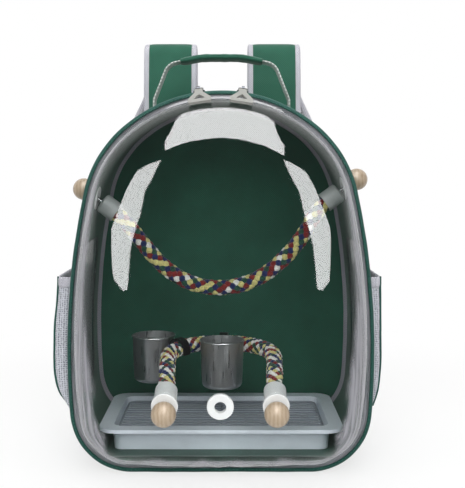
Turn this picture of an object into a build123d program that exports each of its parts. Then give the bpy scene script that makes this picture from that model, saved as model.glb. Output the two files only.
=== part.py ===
from build123d import *
import os
from math import asin, atan2, cos, degrees, radians, sin, sqrt, tan

# Bird travel carrier: a backpack whose clear domed front is a zipped door.
# Millimetres. +Z up, +X to the right seen from the front, the front looks along -Y.
# The origin is the middle of the base, on the surface that the bag stands on.

# ---- bag outline, seen from the front ----
BAG_WIDTH = 338.0
BAG_HEIGHT = 420.0
BAG_DEPTH = 186.0
CORNER_R = 68.0
CROWN_R = 165.0
SIDE_LEAN = 5.0
SHOULDER_LEAN = 12.0
CROWN_HALF_ANGLE = 42.0

# ---- soft shell ----
WALL_T = 3.0
BACK_T = 5.0
MESH_T = 1.2
BINDING_W = 4.0
FLOOR_PAD_T = 10.0
PAD_GAP = 0.3
WINDOW_DEPTH = 112.0
WINDOW_HEIGHT = 176.0
WINDOW_BOTTOM = 72.0
WINDOW_CORNER_R = 22.0
SIDE_SEAM_Z = 268.0

# ---- zip between the bag and the door ----
CHAIN_W = 2.1
CHAIN_T = 3.0
CHAIN_INSET = 0.9
CHAIN_GAP = 1.8
ZIP_END_Z = 22.0
FLAP_T = 1.5

# ---- clear dome door ----
DOME_DEPTH = 74.0
DOME_INSET = 10.0
DOME_T = 1.5
DOME_FACE_R = 800.0
DOME_FACE_Z = 225.0
DOME_EDGE_R = 40.0
FLANGE_SEAT = 2.0
DOOR_BINDING_DEPTH = 5.0

# ---- zip sliders and pulls ----
SLIDER_X = 24.0
SLIDER_L = 13.0
SLIDER_W = 8.4
PLATE_T = 1.6
POST_T = 1.3
SLIDER_CLEAR = 0.5
EYE_T = 3.4
EYE_W = 5.6
EYE_HOLE_R = 1.3
LINK_R = 0.9
LINK_W = 9.0
LINK_L = 22.0
LINK_DROOP = 12.0
TAB_L = 27.0
TAB_W = 25.0
TAB_NECK_W = 9.0
TAB_T = 3.0
TAB_DROOP = 33.0

# ---- carry handle ----
HANDLE_SPAN = 164.0
HANDLE_TOP_Z = 474.0
HANDLE_WEB_W = 25.0
HANDLE_WEB_T = 2.6
HANDLE_CORNER_R = 18.0
HANDLE_TOP_HALF = 66.0
GRIP_L = 96.0
GRIP_W = 32.0
GRIP_T = 8.0
HANDLE_CLEAR = 0.3
PATCH_T = 1.6
PATCH_L = 34.0

# ---- perches ----
ROPE_R = 9.25
SOCKET_CLEAR = 0.25
FERRULE_R = 12.0
FERRULE_L = 22.0
SOCKET_DEPTH = 14.0
ROPE_LEAD = 9.0
STUD_R = 3.0
STUD_FIT = 0.05
BALL_R = 13.0
BALL_FLAT = 10.5
SEAT_GAP = 0.3
GROMMET_R = 14.0
GROMMET_BORE_R = 6.25
GROMMET_NECK_R = 8.0
GROMMET_FLANGE_T = 1.6
UPPER_PERCH_BEHIND_SEAM = 75.0
UPPER_LEFT_Z = 300.0
UPPER_RIGHT_Z = 312.0
UPPER_TILT = 36.0
LOWER_PERCH_X = 58.0
LOWER_PERCH_Z = 87.0
LOWER_TILT = 20.0
UPPER_SAG_Z = 190.0
UPPER_RISE = 60.0
UPPER_HALF = 100.0
LOWER_LOOP_Z = 122.0
LOWER_LOOP_HALF = 61.5
LOWER_LOOP_REACH = 95.8
LOWER_LOOP_DROP = 9.0

# ---- feeder cups ----
CUP_R = 25.5
CUP_BASE_R = 23.5
CUP_H = 55.0
CUP_WALL = 0.9
CUP_LIP = 1.8
CUP_CORNER_R = 6.0
HOOK_T = 2.6
HOOK_W = 10.0
HOOK_CLEAR = 0.8
CUP_RIM_ABOVE_ROPE = 12.0
RIVET_R = 2.2
CUP_ON_ROPE = {"left": (0.335, -90), "right": (0.508, 90)}

# ---- tray and grate ----
TRAY_SIDE_GAP = 29.5
TRAY_W = BAG_WIDTH - 2 * TRAY_SIDE_GAP
TRAY_D = 158.0
TRAY_H = 27.0
TRAY_T = 2.0
TRAY_LIP = 14.0
TRAY_SKIRT = 4.0
TRAY_CORNER_R = 20.0
TRAY_DRAFT = 5.0
TRAY_BEHIND_SEAM = 11.0
GRATE_WIRE_R = 1.1
GRATE_FRAME_R = 1.5
GRATE_BARS = 11
GRATE_SIDE_GAP = 5.0
GRATE_BELOW_LIP = 6.0
GRATE_BOSS_R = 4.0

# ---- side pockets ----
POCKET_TOP_Z = 215.0
POCKET_BASE_Z = 38.0
POCKET_LENGTH = 146.0
POCKET_LEFT_BULGE = 19.0
POCKET_RIGHT_BULGE = 13.5
POCKET_T = 1.6
POCKET_TRIM_H = 12.0
POCKET_TRIM_T = 1.4
POCKET_ROUND_R = 9.0
POCKET_SEAM_OUT = 2.0
POCKET_FOOT_H = 40.0
POCKET_FULL_H = 100.0

# ---- back and shoulder straps ----
STRAP_X = 70.0
STRAP_W = 72.0
STRAP_T = 11.0
STRAP_TOP_Z = 500.0
STRAP_FOOT_Z = 368.0
STRAP_TIP_Z = 128.0
STRAP_TIP_W = 40.0
STRAP_REACH = 52.0
STRAP_SPLAY = 34.0
STRAP_FOLD_W = 33.0
STRAP_FOLD_R = 13.0
STRAP_FOOT_R = 60.0
STRAP_SHOULDER_R = 90.0
STRAP_DROP_R = 120.0
BACK_PAD_T = 9.0
BACK_PAD_W = 112.0
BACK_PAD_TOP_Z = 352.0
BACK_PAD_BASE_Z = 76.0
BACK_PAD_CHANNEL = 18.0
WEBBING_W = 25.0
WEBBING_T = 1.8
ANCHOR_INSET = 57.0
ANCHOR_X = BAG_WIDTH / 2 - ANCHOR_INSET
ANCHOR_Z = 40.0
ANCHOR_SIZE = 46.0
ANCHOR_T = 3.0
LOCK_W = 36.0
LOCK_H = 30.0
LOCK_T = 5.0
LOCK_BAR = 5.0
TAIL_BEHIND = 24.0
TAIL_RUN = 44.0
TAIL_R = 40.0
TAIL_FOOT_R = 12.0
TAIL_FOOT_H = 16.0
TAIL_SEWN_H = 8.0

# ---- derived places ----
SEAM_Y = -BAG_DEPTH / 2
BACK_Y = BAG_DEPTH / 2
BACK_FACE_Y = BACK_Y + BACK_T
ZIP_HALF = CHAIN_GAP / 2 + CHAIN_W
DOOR_Y = SEAM_Y - ZIP_HALF
DOOR_FRONT_Y = DOOR_Y - DOOR_BINDING_DEPTH
FLANGE_Y = DOOR_Y - (DOOR_BINDING_DEPTH - DOME_T) / 2
FAR = 1000.0

LEAN_A = radians(SIDE_LEAN)
LEAN_B = radians(SHOULDER_LEAN)
LEAN_G = radians(CROWN_HALF_ANGLE)


def outline_radii():
    """Side and shoulder radii that join the corner and crown arcs at the bag's width and height."""
    across = BAG_WIDTH / 2 - CROWN_R * sin(LEAN_G)
    up = BAG_HEIGHT - CORNER_R * (1 - sin(LEAN_A)) - CROWN_R * (1 - cos(LEAN_G))
    side_x = 1 - cos(LEAN_B)
    side_z = sin(LEAN_A) + sin(LEAN_B)
    shoulder_x = cos(LEAN_B) - sin(LEAN_G)
    shoulder_z = cos(LEAN_G) - sin(LEAN_B)
    det = side_x * shoulder_z - shoulder_x * side_z
    side = (across * shoulder_z - up * shoulder_x) / det
    shoulder = (side_x * up - side_z * across) / det
    return side, shoulder


SIDE_R, SHOULDER_R = outline_radii()
HALF_BASE = BAG_WIDTH / 2 - CORNER_R * cos(LEAN_A) - SIDE_R * (1 - cos(LEAN_A))
CORNER_TOP_Z = CORNER_R * (1 - sin(LEAN_A))
WIDEST_Z = CORNER_TOP_Z + SIDE_R * sin(LEAN_A)
SIDE_TOP_Z = WIDEST_Z + SIDE_R * sin(LEAN_B)
SIDE_CENTRE_X = BAG_WIDTH / 2 - SIDE_R
SHOULDER_CENTRE = (
    SIDE_CENTRE_X + (SIDE_R - SHOULDER_R) * cos(LEAN_B),
    SIDE_TOP_Z - SHOULDER_R * sin(LEAN_B),
)
CROWN_CENTRE_Z = BAG_HEIGHT - CROWN_R


def outline(inset):
    """The bag's front outline as a face, moved inward by inset."""
    base = Line((0, inset), (HALF_BASE, inset))
    corner = JernArc(base @ 1, base % 1, CORNER_R - inset, 90 - SIDE_LEAN)
    side = JernArc(corner @ 1, corner % 1, SIDE_R - inset, SIDE_LEAN + SHOULDER_LEAN)
    turn = 90 - SHOULDER_LEAN - CROWN_HALF_ANGLE
    shoulder = JernArc(side @ 1, side % 1, SHOULDER_R - inset, turn)
    crown = JernArc(shoulder @ 1, shoulder % 1, CROWN_R - inset, CROWN_HALF_ANGLE)
    half = base + corner + side + shoulder + crown
    return make_face(half + mirror(half, about=Plane.YZ))


def prism(sketch, y_front, y_back):
    """A front-view sketch as a solid between two depths."""
    return extrude(Plane.XZ.offset(-y_back) * sketch, amount=y_back - y_front)


def ring(outer, inner, y_front, y_back):
    """A band that follows the outline between two insets."""
    return prism(outline(outer), y_front, y_back) - prism(outline(inner), y_front, y_back)


def between_heights(solid, z_low, z_high):
    """The part of a solid between two heights."""
    middle = (z_low + z_high) / 2
    return solid & (Pos(0, 0, middle) * Box(FAR, FAR, z_high - z_low))


def side_of(solid, side):
    """The half of a solid on one side, -1 for left and 1 for right."""
    return solid & (Pos(side * FAR / 2, 0, 0) * Box(FAR, FAR, 2 * FAR))


def wall_point(z):
    """Point (x, z) on the right side wall's outer face and that face's outward direction."""
    if z <= SIDE_TOP_Z:
        lean = asin((z - WIDEST_Z) / SIDE_R)
        return SIDE_CENTRE_X + SIDE_R * cos(lean), lean
    centre_x, centre_z = SHOULDER_CENTRE
    lean = asin((z - centre_z) / SHOULDER_R)
    return centre_x + SHOULDER_R * cos(lean), lean


def crown_z(x):
    """Height of the crown's outer face at x."""
    return CROWN_CENTRE_Z + sqrt(CROWN_R**2 - x**2)


# ---- seats of the perches: a frame whose z points out of the bag along the screw ----
def side_seat(side, z):
    """Wall frame and perch frame of an upper perch seat, at the middle of the wall."""
    x, lean = wall_point(z)
    x -= WALL_T / 2 * cos(lean)
    z -= WALL_T / 2 * sin(lean)
    origin = (side * x, SEAM_Y + UPPER_PERCH_BEHIND_SEAM, z)
    tilt = radians(UPPER_TILT)
    wall = Plane(origin=origin, x_dir=(0, 1, 0), z_dir=(side * cos(lean), 0, sin(lean)))
    screw = Plane(origin=origin, x_dir=(0, 1, 0), z_dir=(side * cos(tilt), 0, sin(tilt)))
    return wall, screw, UPPER_TILT - degrees(lean)


def dome_seat(x):
    """Wall frame and perch frame of a hole in the dome's face, at the middle of its wall."""
    centre = Vector(0, SEAM_Y - DOME_DEPTH + DOME_FACE_R, DOME_FACE_Z)
    reach = DOME_FACE_R - DOME_T / 2
    back = sqrt(reach**2 - x**2 - (LOWER_PERCH_Z - DOME_FACE_Z) ** 2)
    origin = Vector(x, centre.Y - back, LOWER_PERCH_Z)
    normal = (origin - centre).normalized()
    lean = degrees(asin(-normal.Z))
    tilt = radians(LOWER_TILT)
    wall = Plane(origin=origin, x_dir=(1, 0, 0), z_dir=normal)
    screw = Plane(origin=origin, x_dir=(1, 0, 0), z_dir=(0, -cos(tilt), -sin(tilt)))
    return wall, screw, LOWER_TILT - lean


def grommet(wall, wall_t, panel):
    """Moulded ring whose two flanges are shaped to the panel that it is snapped into."""
    flange_z = (wall_t + GROMMET_FLANGE_T) / 2
    body = Cylinder(GROMMET_NECK_R, wall_t)
    for z in (-flange_z, flange_z):
        flange = Pos(0, 0, z) * Cylinder(GROMMET_R, GROMMET_FLANGE_T)
        rim = flange.faces().sort_by(Axis.Z)[-1 if z > 0 else 0].edges()
        body += fillet(rim, GROMMET_FLANGE_T * 0.6)
    body -= Cylinder(GROMMET_BORE_R, wall_t + 4 * GROMMET_FLANGE_T)
    return wall * body - panel


def grommets(seats, wall_t, panel):
    """The grommets of one panel as a group."""
    return Compound([grommet(frame, wall_t, panel) for frame, _, _ in seats])


def ball_start(wall_t, lean):
    """Distance along the screw from the wall's middle to the ball's flat, clear of the ring."""
    flat_r = sqrt(BALL_R**2 - BALL_FLAT**2)
    tilt = radians(abs(lean))
    return (wall_t / 2 + GROMMET_FLANGE_T + SEAT_GAP) / cos(tilt) + flat_r * tan(tilt)


def ferrule_start(wall_t, lean):
    """Distance along the screw from the wall's middle to the ferrule's end."""
    tilt = radians(abs(lean))
    return (wall_t / 2 + GROMMET_FLANGE_T + SEAT_GAP) / cos(tilt) + FERRULE_R * tan(tilt)


def ferrule(screw, wall_t, lean):
    """Moulded end cap that grips the rope and takes the screw."""
    start = ferrule_start(wall_t, lean)
    cap = Cylinder(FERRULE_R, FERRULE_L)
    cap = fillet(cap.edges().filter_by(GeomType.CIRCLE).sort_by(Axis.Z)[-1], FERRULE_R * 0.25)
    socket = Pos(0, 0, (SOCKET_DEPTH - FERRULE_L) / 2) * Cylinder(ROPE_R + SOCKET_CLEAR, SOCKET_DEPTH)
    cap -= socket
    cap -= Cylinder(STUD_R, FERRULE_L)
    return screw * Pos(0, 0, -start - FERRULE_L / 2) * cap


def stud(screw, wall_t, lean):
    """Screw from the ferrule through the grommet into the ball."""
    inner = -ferrule_start(wall_t, lean) - FERRULE_L + SOCKET_DEPTH
    outer = ball_start(wall_t, lean) + BALL_FLAT
    return screw * Pos(0, 0, (inner + outer) / 2) * Cylinder(STUD_R, outer - inner)


def studs(seats, wall_t):
    """The screws of one perch as a group."""
    return Compound([stud(screw, wall_t, lean) for _, screw, lean in seats.values()])


def ball_knob(screw, wall_t, lean):
    """Turned wooden ball with a flat and a blind hole for the screw."""
    centre = ball_start(wall_t, lean) + BALL_FLAT
    ball = Sphere(BALL_R) & (Pos(0, 0, BALL_R - BALL_FLAT) * Box(4 * BALL_R, 4 * BALL_R, 2 * BALL_R))
    hole_depth = BALL_FLAT + STUD_FIT + 1
    ball -= Pos(0, 0, (1 + STUD_FIT - BALL_FLAT) / 2) * Cylinder(STUD_R + STUD_FIT, hole_depth)
    return screw * Pos(0, 0, centre) * ball


UPPER_SEATS = {
    "left": side_seat(-1, UPPER_LEFT_Z),
    "right": side_seat(1, UPPER_RIGHT_Z),
}
LOWER_SEATS = {
    "left": dome_seat(-LOWER_PERCH_X),
    "right": dome_seat(LOWER_PERCH_X),
}
CENTRE_SEAT = dome_seat(0)


# ---- the bag's shell ----
def gusset():
    """The side wall all round, from the zip to the back seam, with the perch holes."""
    wall = ring(0, WALL_T, SEAM_Y + ZIP_HALF, BACK_Y)
    for frame, _, _ in UPPER_SEATS.values():
        wall -= frame * Cylinder(GROMMET_NECK_R, 8 * WALL_T)
    return wall


def window_prism(side):
    """Rounded window through one side wall."""
    middle_z = WINDOW_BOTTOM + WINDOW_HEIGHT / 2
    shape = RectangleRounded(WINDOW_DEPTH, WINDOW_HEIGHT, WINDOW_CORNER_R)
    plane = Plane(origin=(side * BAG_WIDTH / 4, 0, middle_z), x_dir=(0, 1, 0), z_dir=(side, 0, 0))
    return extrude(plane * shape, amount=BAG_WIDTH / 2)


def mesh_window(side):
    """Breathable mesh sewn into the window."""
    inset = (WALL_T - MESH_T) / 2
    return ring(inset, inset + MESH_T, SEAM_Y + ZIP_HALF, BACK_Y) & window_prism(side)


def floor_pad():
    """Foam-covered base board that fills the rounded bottom of the bag."""
    pad = prism(outline(WALL_T), SEAM_Y + ZIP_HALF, BACK_Y)
    return between_heights(pad, WALL_T, WALL_T + FLOOR_PAD_T)


def back_binding():
    """Tape that binds the back panel to the side wall."""
    band = ring(0, BINDING_W, BACK_Y, BACK_FACE_Y)
    rim = band.faces().sort_by(Axis.Y)[-1].outer_wire().edges()
    return fillet(rim, BACK_T * 0.4)


def zip_chain(y_front, y_back):
    """One half of the zip, from one bottom corner over the crown to the other."""
    chain = ring(CHAIN_INSET, CHAIN_INSET + CHAIN_T, y_front, y_back)
    return between_heights(chain, ZIP_END_Z, BAG_HEIGHT)


def hinge_flap():
    """Fabric strip under the door between the ends of the zip."""
    flap = ring(0, FLAP_T, DOOR_Y, SEAM_Y + ZIP_HALF)
    return between_heights(flap, 0, ZIP_END_Z)


# ---- door ----
def dome_block(inset, shrink):
    """Solid dome whose walls, face and edge radius are all moved inward by shrink."""
    face_centre = (0, SEAM_Y - DOME_DEPTH + DOME_FACE_R, DOME_FACE_Z)
    block = prism(outline(inset + shrink), SEAM_Y - DOME_DEPTH - DOME_INSET, FLANGE_Y)
    block &= Pos(*face_centre) * Sphere(DOME_FACE_R - shrink)
    ahead = block.edges().filter_by(lambda e: e.center().Y < DOOR_FRONT_Y)
    front = ahead.filter_by(GeomType.LINE, reverse=True)
    return fillet(front, DOME_EDGE_R - shrink)


def dome():
    """Vacuum-formed clear shell with the flat flange that is sewn into the binding."""
    shell = dome_block(DOME_INSET, 0)
    shell += ring(FLANGE_SEAT, DOME_INSET, FLANGE_Y - DOME_T, FLANGE_Y)
    shell -= dome_block(DOME_INSET, DOME_T)
    for frame, _, _ in (*LOWER_SEATS.values(), CENTRE_SEAT):
        shell -= frame * Cylinder(GROMMET_NECK_R, 8 * DOME_T)
    return shell


def door_binding():
    """Tape folded over the dome's flange."""
    band = ring(0, BINDING_W, DOOR_FRONT_Y, DOOR_Y)
    rim = band.faces().sort_by(Axis.Y)[0].outer_wire().edges()
    band = fillet(rim, DOOR_BINDING_DEPTH * 0.35)
    return band - ring(FLANGE_SEAT, DOME_INSET, FLANGE_Y - DOME_T, FLANGE_Y)


# ---- zip sliders, built at the top of the crown and turned to their place ----
TOP = Pos(0, SEAM_Y, BAG_HEIGHT)
SLIDER_ANGLE = degrees(asin(SLIDER_X / CROWN_R))
TOP_PLATE_Z = SLIDER_CLEAR + PLATE_T / 2
EYE_Z = SLIDER_CLEAR + PLATE_T + EYE_HOLE_R + 1.2


def along_crown(side, solid):
    """Turns a piece from the crown's top to the slider's place on one side."""
    spin = Pos(0, 0, CROWN_CENTRE_Z) * Rot(0, side * SLIDER_ANGLE, 0) * Pos(0, 0, -CROWN_CENTRE_Z)
    return spin * TOP * solid


def slider():
    """Two plates round the chain, joined by the post between its halves, with the pull's eye."""
    under_z = -CHAIN_INSET - CHAIN_T - SLIDER_CLEAR - PLATE_T / 2
    plate = Box(SLIDER_L, SLIDER_W, PLATE_T)
    plate = fillet(plate.edges().filter_by(Axis.Z), SLIDER_W * 0.3)
    top = Pos(0, 0, TOP_PLATE_Z) * plate
    post_h = TOP_PLATE_Z - under_z
    post = Pos(SLIDER_L * 0.3, 0, (TOP_PLATE_Z + under_z) / 2) * Box(SLIDER_L * 0.3, POST_T, post_h)
    eye_h = EYE_HOLE_R + 1.6
    base_z = SLIDER_CLEAR + PLATE_T
    eye = Pos(0, 0, base_z + (EYE_Z - base_z) / 2) * Box(EYE_T, EYE_W, EYE_Z - base_z)
    eye += Pos(0, 0, EYE_Z) * Rot(0, 90, 0) * Cylinder(eye_h, EYE_T)
    eye = eye & (Pos(0, 0, base_z + 10) * Box(EYE_T, EYE_W, 20))
    body = top + Pos(0, 0, under_z) * plate + post + eye
    return body - Pos(0, 0, EYE_Z) * Rot(0, 90, 0) * Cylinder(EYE_HOLE_R, 2 * SLIDER_L)


LINK_PLANE = Plane(
    origin=(0, 0, EYE_Z),
    x_dir=(1, 0, 0),
    z_dir=(0, -sin(radians(LINK_DROOP)), cos(radians(LINK_DROOP))),
)


def pull_link():
    """Wire loop from the slider's eye to the tab, lying forward over the door's rim."""
    loop = RectangleRounded(LINK_W, LINK_L, LINK_W * 0.32)
    path = Wire((LINK_PLANE * Pos(0, -LINK_L / 2) * loop).edges())
    section = Plane(origin=path @ 0, z_dir=path % 0) * Circle(LINK_R)
    return sweep(section, path=path)


def pull_tab(link):
    """Tab with a triangular finger hole, moulded round the loop's front bar."""
    bar = LINK_PLANE.from_local_coords(Vector(0, -LINK_L, 0))
    droop = radians(TAB_DROOP)
    plane = Plane(origin=bar, x_dir=(1, 0, 0), z_dir=(0, -sin(droop), cos(droop)))
    neck = TAB_NECK_W / 2
    wide = TAB_W / 2
    head = 2.5 * LINK_R
    shape = Polyline(
        (-neck, head), (neck, head), (neck, -TAB_L * 0.2), (wide, -TAB_L * 0.72),
        (wide, -TAB_L), (-wide, -TAB_L), (-wide, -TAB_L * 0.72), (-neck, -TAB_L * 0.2), close=True,
    )
    face = make_face(shape)
    face = fillet(face.vertices(), TAB_NECK_W * 0.24)
    hole_w = wide * 0.52
    hole_y = -TAB_L * 0.76
    window = make_face(Polyline((0, -TAB_L * 0.38), (hole_w, hole_y), (-hole_w, hole_y), close=True))
    window = fillet(window.vertices(), TAB_NECK_W * 0.13)
    return extrude(plane * (face - window), amount=TAB_T / 2, both=True) - link


# ---- carry handle ----
FOOT_X = HANDLE_SPAN / 2
PATCH_TOP_Z = CROWN_CENTRE_Z + sqrt((CROWN_R + PATCH_T) ** 2 - (FOOT_X - HANDLE_WEB_T) ** 2)
HANDLE_AXIS_Z = PATCH_TOP_Z + HANDLE_CLEAR + HANDLE_WEB_W / 2


def handle_line(z_top):
    """Centre line of the webbing, seen from the front."""
    foot_z = HANDLE_AXIS_Z - HANDLE_WEB_W / 2
    points = [(-FOOT_X, foot_z), (-FOOT_X, HANDLE_AXIS_Z + 4), (-HANDLE_TOP_HALF, z_top)]
    points += [(-x, z) for x, z in reversed(points)]
    radii = [HANDLE_CORNER_R * 0.6, HANDLE_CORNER_R, HANDLE_CORNER_R, HANDLE_CORNER_R * 0.6]
    return FilletPolyline(*points, radius=radii)


def handle_webbing():
    """Flat webbing, its ends rounded about the line on which the handle folds."""
    side_view = trace(handle_line(HANDLE_TOP_Z - GRIP_T / 2), HANDLE_WEB_T)
    band = prism(side_view, -HANDLE_WEB_W / 2, HANDLE_WEB_W / 2)
    ends = Pos(0, 0, HANDLE_AXIS_Z) * Rot(0, 90, 0) * Cylinder(HANDLE_WEB_W / 2, FAR)
    above = Pos(0, 0, HANDLE_AXIS_Z + FAR / 2) * Box(FAR, FAR, FAR)
    return band & (ends + above)


def handle_grip():
    """Padded sleeve round the middle of the webbing."""
    sleeve = Box(GRIP_L, GRIP_W, GRIP_T)
    sleeve = fillet(sleeve.edges().filter_by(Axis.X), GRIP_T * 0.45)
    middle_z = HANDLE_TOP_Z - GRIP_T / 2
    slot = Pos(0, 0, middle_z) * Box(GRIP_L, HANDLE_WEB_W, HANDLE_WEB_T)
    return Pos(0, 0, middle_z) * sleeve - slot


def handle_patch(side):
    """Sewn patch under one foot of the handle."""
    patch = prism(outline(-PATCH_T) - outline(0), -HANDLE_WEB_W / 2 - 3, HANDLE_WEB_W / 2 + 3)
    around = Pos(side * FOOT_X, 0, BAG_HEIGHT) * Box(PATCH_L, FAR, 2 * CORNER_R)
    return patch & around


# ---- rope perches: routes between the two ferrules, chosen by hand as shares of their size ----
UPPER_Y = SEAM_Y + UPPER_PERCH_BEHIND_SEAM
UPPER_SHARES = [
    (-0.98, 0.983), (-0.71, 0.45), (-0.375, 0.092), (0.015, 0), (0.4, 0.15), (0.73, 0.55), (1.005, 1.108),
]
LOWER_SHARES = [(0.984, 0.115, 1.0), (1.0, 0.532, 0.278), (0.618, 0.87, 0.056)]
UPPER_ROUTE = [(x * UPPER_HALF, UPPER_Y, UPPER_SAG_Z + z * UPPER_RISE) for x, z in UPPER_SHARES]
LOWER_LEG = [
    (x * LOWER_LOOP_HALF, SEAM_Y + y * LOWER_LOOP_REACH, LOWER_LOOP_Z - z * LOWER_LOOP_DROP)
    for x, y, z in LOWER_SHARES
]
LOWER_BIGHT = (0, SEAM_Y + LOWER_LOOP_REACH, LOWER_LOOP_Z)
LOWER_ROUTE = [(-x, y, z) for x, y, z in LOWER_LEG] + [LOWER_BIGHT] + LOWER_LEG[::-1]


def corner_radii(points):
    """Arc radius at each inner point: 0.45 of the shorter run over the tangent of half the turn."""
    radii = []
    for before, here, after in zip(points, points[1:], points[2:]):
        run_in = Vector(*here) - Vector(*before)
        run_out = Vector(*after) - Vector(*here)
        half_turn = radians(run_in.get_angle(run_out)) / 2
        radii.append(0.45 * min(run_in.length, run_out.length) / tan(half_turn))
    return radii


def rope_line(seats, wall_t, route):
    """Middle line of a rope from the bottom of one ferrule's socket to the other's."""
    ends = []
    for _, screw, lean in seats.values():
        mouth = -ferrule_start(wall_t, lean) - FERRULE_L
        ends.append([tuple(screw.from_local_coords(Vector(0, 0, z)))
                     for z in (mouth + SOCKET_DEPTH, mouth - ROPE_LEAD)])
    points = [*ends[0], *route, *reversed(ends[1])]
    radii = corner_radii(points)
    print("rope radii", [round(r, 1) for r in radii])
    return FilletPolyline(*points, radius=radii)


def rope(line):
    """Stiff cotton rope along its middle line."""
    section = Plane(origin=line @ 0, z_dir=line % 0) * Circle(ROPE_R)
    tube = sweep(section, path=line)
    share = tube.volume / (section.area * line.length)
    print("rope length", round(line.length, 1), "volume over section times length", round(share, 4))
    return tube


UPPER_LINE = rope_line(UPPER_SEATS, WALL_T, UPPER_ROUTE)
LOWER_LINE = rope_line(LOWER_SEATS, DOME_T, LOWER_ROUTE)


# ---- feeder cups, each hung by a hook on the lower rope ----
HOOK_IN_R = ROPE_R + HOOK_CLEAR
HOOK_OUT_R = HOOK_IN_R + HOOK_T
CUP_OFFSET = HOOK_OUT_R + CUP_R + CUP_LIP


def cup():
    """Pressed steel cup with a rolled lip; the origin is the middle of its base."""
    outside = make_face(Polyline((0, 0), (CUP_BASE_R, 0), (CUP_R, CUP_H), (0, CUP_H), close=True))
    outside = fillet(outside.vertices().sort_by(Axis.X)[-2:].sort_by(Axis.Y)[0], CUP_CORNER_R)
    inside = make_face(Polyline((0, CUP_WALL), (CUP_BASE_R - CUP_WALL, CUP_WALL),
                                (CUP_R - CUP_WALL, CUP_H), (0, CUP_H), close=True))
    inside = fillet(inside.vertices().sort_by(Axis.X)[-2:].sort_by(Axis.Y)[0], CUP_CORNER_R - CUP_WALL)
    shell = revolve(Plane.XZ * (outside - inside), axis=Axis.Z)
    roll = Pos(CUP_R + CUP_LIP / 2 - CUP_WALL / 2, CUP_H - CUP_LIP / 2) * Circle(CUP_LIP / 2)
    lip = revolve(Plane.XZ * roll, axis=Axis.Z)
    return shell + lip


def cup_hook():
    """Plastic hook beside the cup, towards +X; the origin is the rope's axis at the hook."""
    arch = Circle(HOOK_OUT_R) - Circle(HOOK_IN_R)
    arch &= Pos(0, HOOK_OUT_R / 2) * Rectangle(2 * HOOK_OUT_R, HOOK_OUT_R)
    leg_h = CUP_H * 0.62
    leg = Pos(-HOOK_IN_R - HOOK_T / 2, -leg_h / 2) * Rectangle(HOOK_T, leg_h)
    lip_h = ROPE_R * 0.7
    lip = Pos(HOOK_IN_R + HOOK_T / 2, -lip_h / 2) * Rectangle(HOOK_T, lip_h)
    return extrude(Plane.XZ * (arch + leg + lip), amount=HOOK_W / 2, both=True)


def cup_rivets():
    """Two rivets from the hook's leg through the cup's wall."""
    rivets = Part()
    length = CUP_LIP + CUP_R - CUP_BASE_R + 2 * CUP_WALL + HOOK_T
    for drop in (CUP_H * 0.22, CUP_H * 0.48):
        middle_x = -HOOK_OUT_R + HOOK_T - length / 2
        rivets += Pos(middle_x, 0, -drop) * Rot(0, 90, 0) * Cylinder(RIVET_R, length)
    return rivets


def cup_parts(name):
    """Cup, hook and rivets of one side, hung at their place on the lower rope."""
    share, turn = CUP_ON_ROPE[name]
    at_rope = LOWER_LINE @ share
    along = LOWER_LINE % share
    place = Pos(*at_rope) * Rot(0, 0, degrees(atan2(along.Y, along.X)) + turn)
    to_cup = Pos(-CUP_OFFSET, 0, CUP_RIM_ABOVE_ROPE - CUP_H)
    rivets = cup_rivets()
    body = to_cup * cup() - rivets
    room = to_cup * Pos(0, 0, CUP_H / 2) * Cylinder(CUP_R + CUP_LIP / 2, CUP_H)
    hook = cup_hook() - rivets - room
    return place * body, place * hook, place * rivets


# ---- tray and grate ----
TRAY_Y = SEAM_Y + TRAY_BEHIND_SEAM + TRAY_D / 2
TRAY_Z = WALL_T + FLOOR_PAD_T + PAD_GAP
PAN_W = TRAY_W - 2 * TRAY_LIP
PAN_D = TRAY_D - 2 * TRAY_LIP
GRATE_Z = TRAY_Z + TRAY_H - GRATE_BELOW_LIP


def pan_block(shrink, base_z):
    """Drafted solid of the pan, narrower towards its base."""
    height = TRAY_H - base_z
    corner = TRAY_CORNER_R - TRAY_LIP / 2 - shrink
    top = RectangleRounded(PAN_W - 2 * shrink, PAN_D - 2 * shrink, corner)
    return extrude(Pos(0, 0, TRAY_H) * top, amount=-height, taper=TRAY_DRAFT)


def tray():
    """Moulded waste tray: drafted pan, wide lip with a turned-down skirt, and bosses for the grate."""
    lip = extrude(RectangleRounded(TRAY_W, TRAY_D, TRAY_CORNER_R), amount=-TRAY_T)
    skirt = RectangleRounded(TRAY_W, TRAY_D, TRAY_CORNER_R)
    skirt -= RectangleRounded(TRAY_W - 2 * TRAY_T, TRAY_D - 2 * TRAY_T, TRAY_CORNER_R - TRAY_T)
    lip += extrude(skirt, amount=-TRAY_SKIRT)
    body = Pos(0, 0, TRAY_H) * lip + pan_block(0, 0)
    body -= pan_block(TRAY_T, TRAY_T)
    boss_x = PAN_W / 2 - GRATE_SIDE_GAP - GRATE_BOSS_R - TRAY_T
    boss_y = PAN_D / 2 - GRATE_SIDE_GAP - GRATE_BOSS_R - TRAY_T
    boss_h = TRAY_H - GRATE_BELOW_LIP - GRATE_FRAME_R - TRAY_T / 2
    for at in GridLocations(2 * boss_x, 2 * boss_y, 2, 2):
        body += at * Pos(0, 0, TRAY_T / 2 + boss_h / 2) * Cylinder(GRATE_BOSS_R, boss_h)
    return Pos(0, TRAY_Y, TRAY_Z) * body


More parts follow.
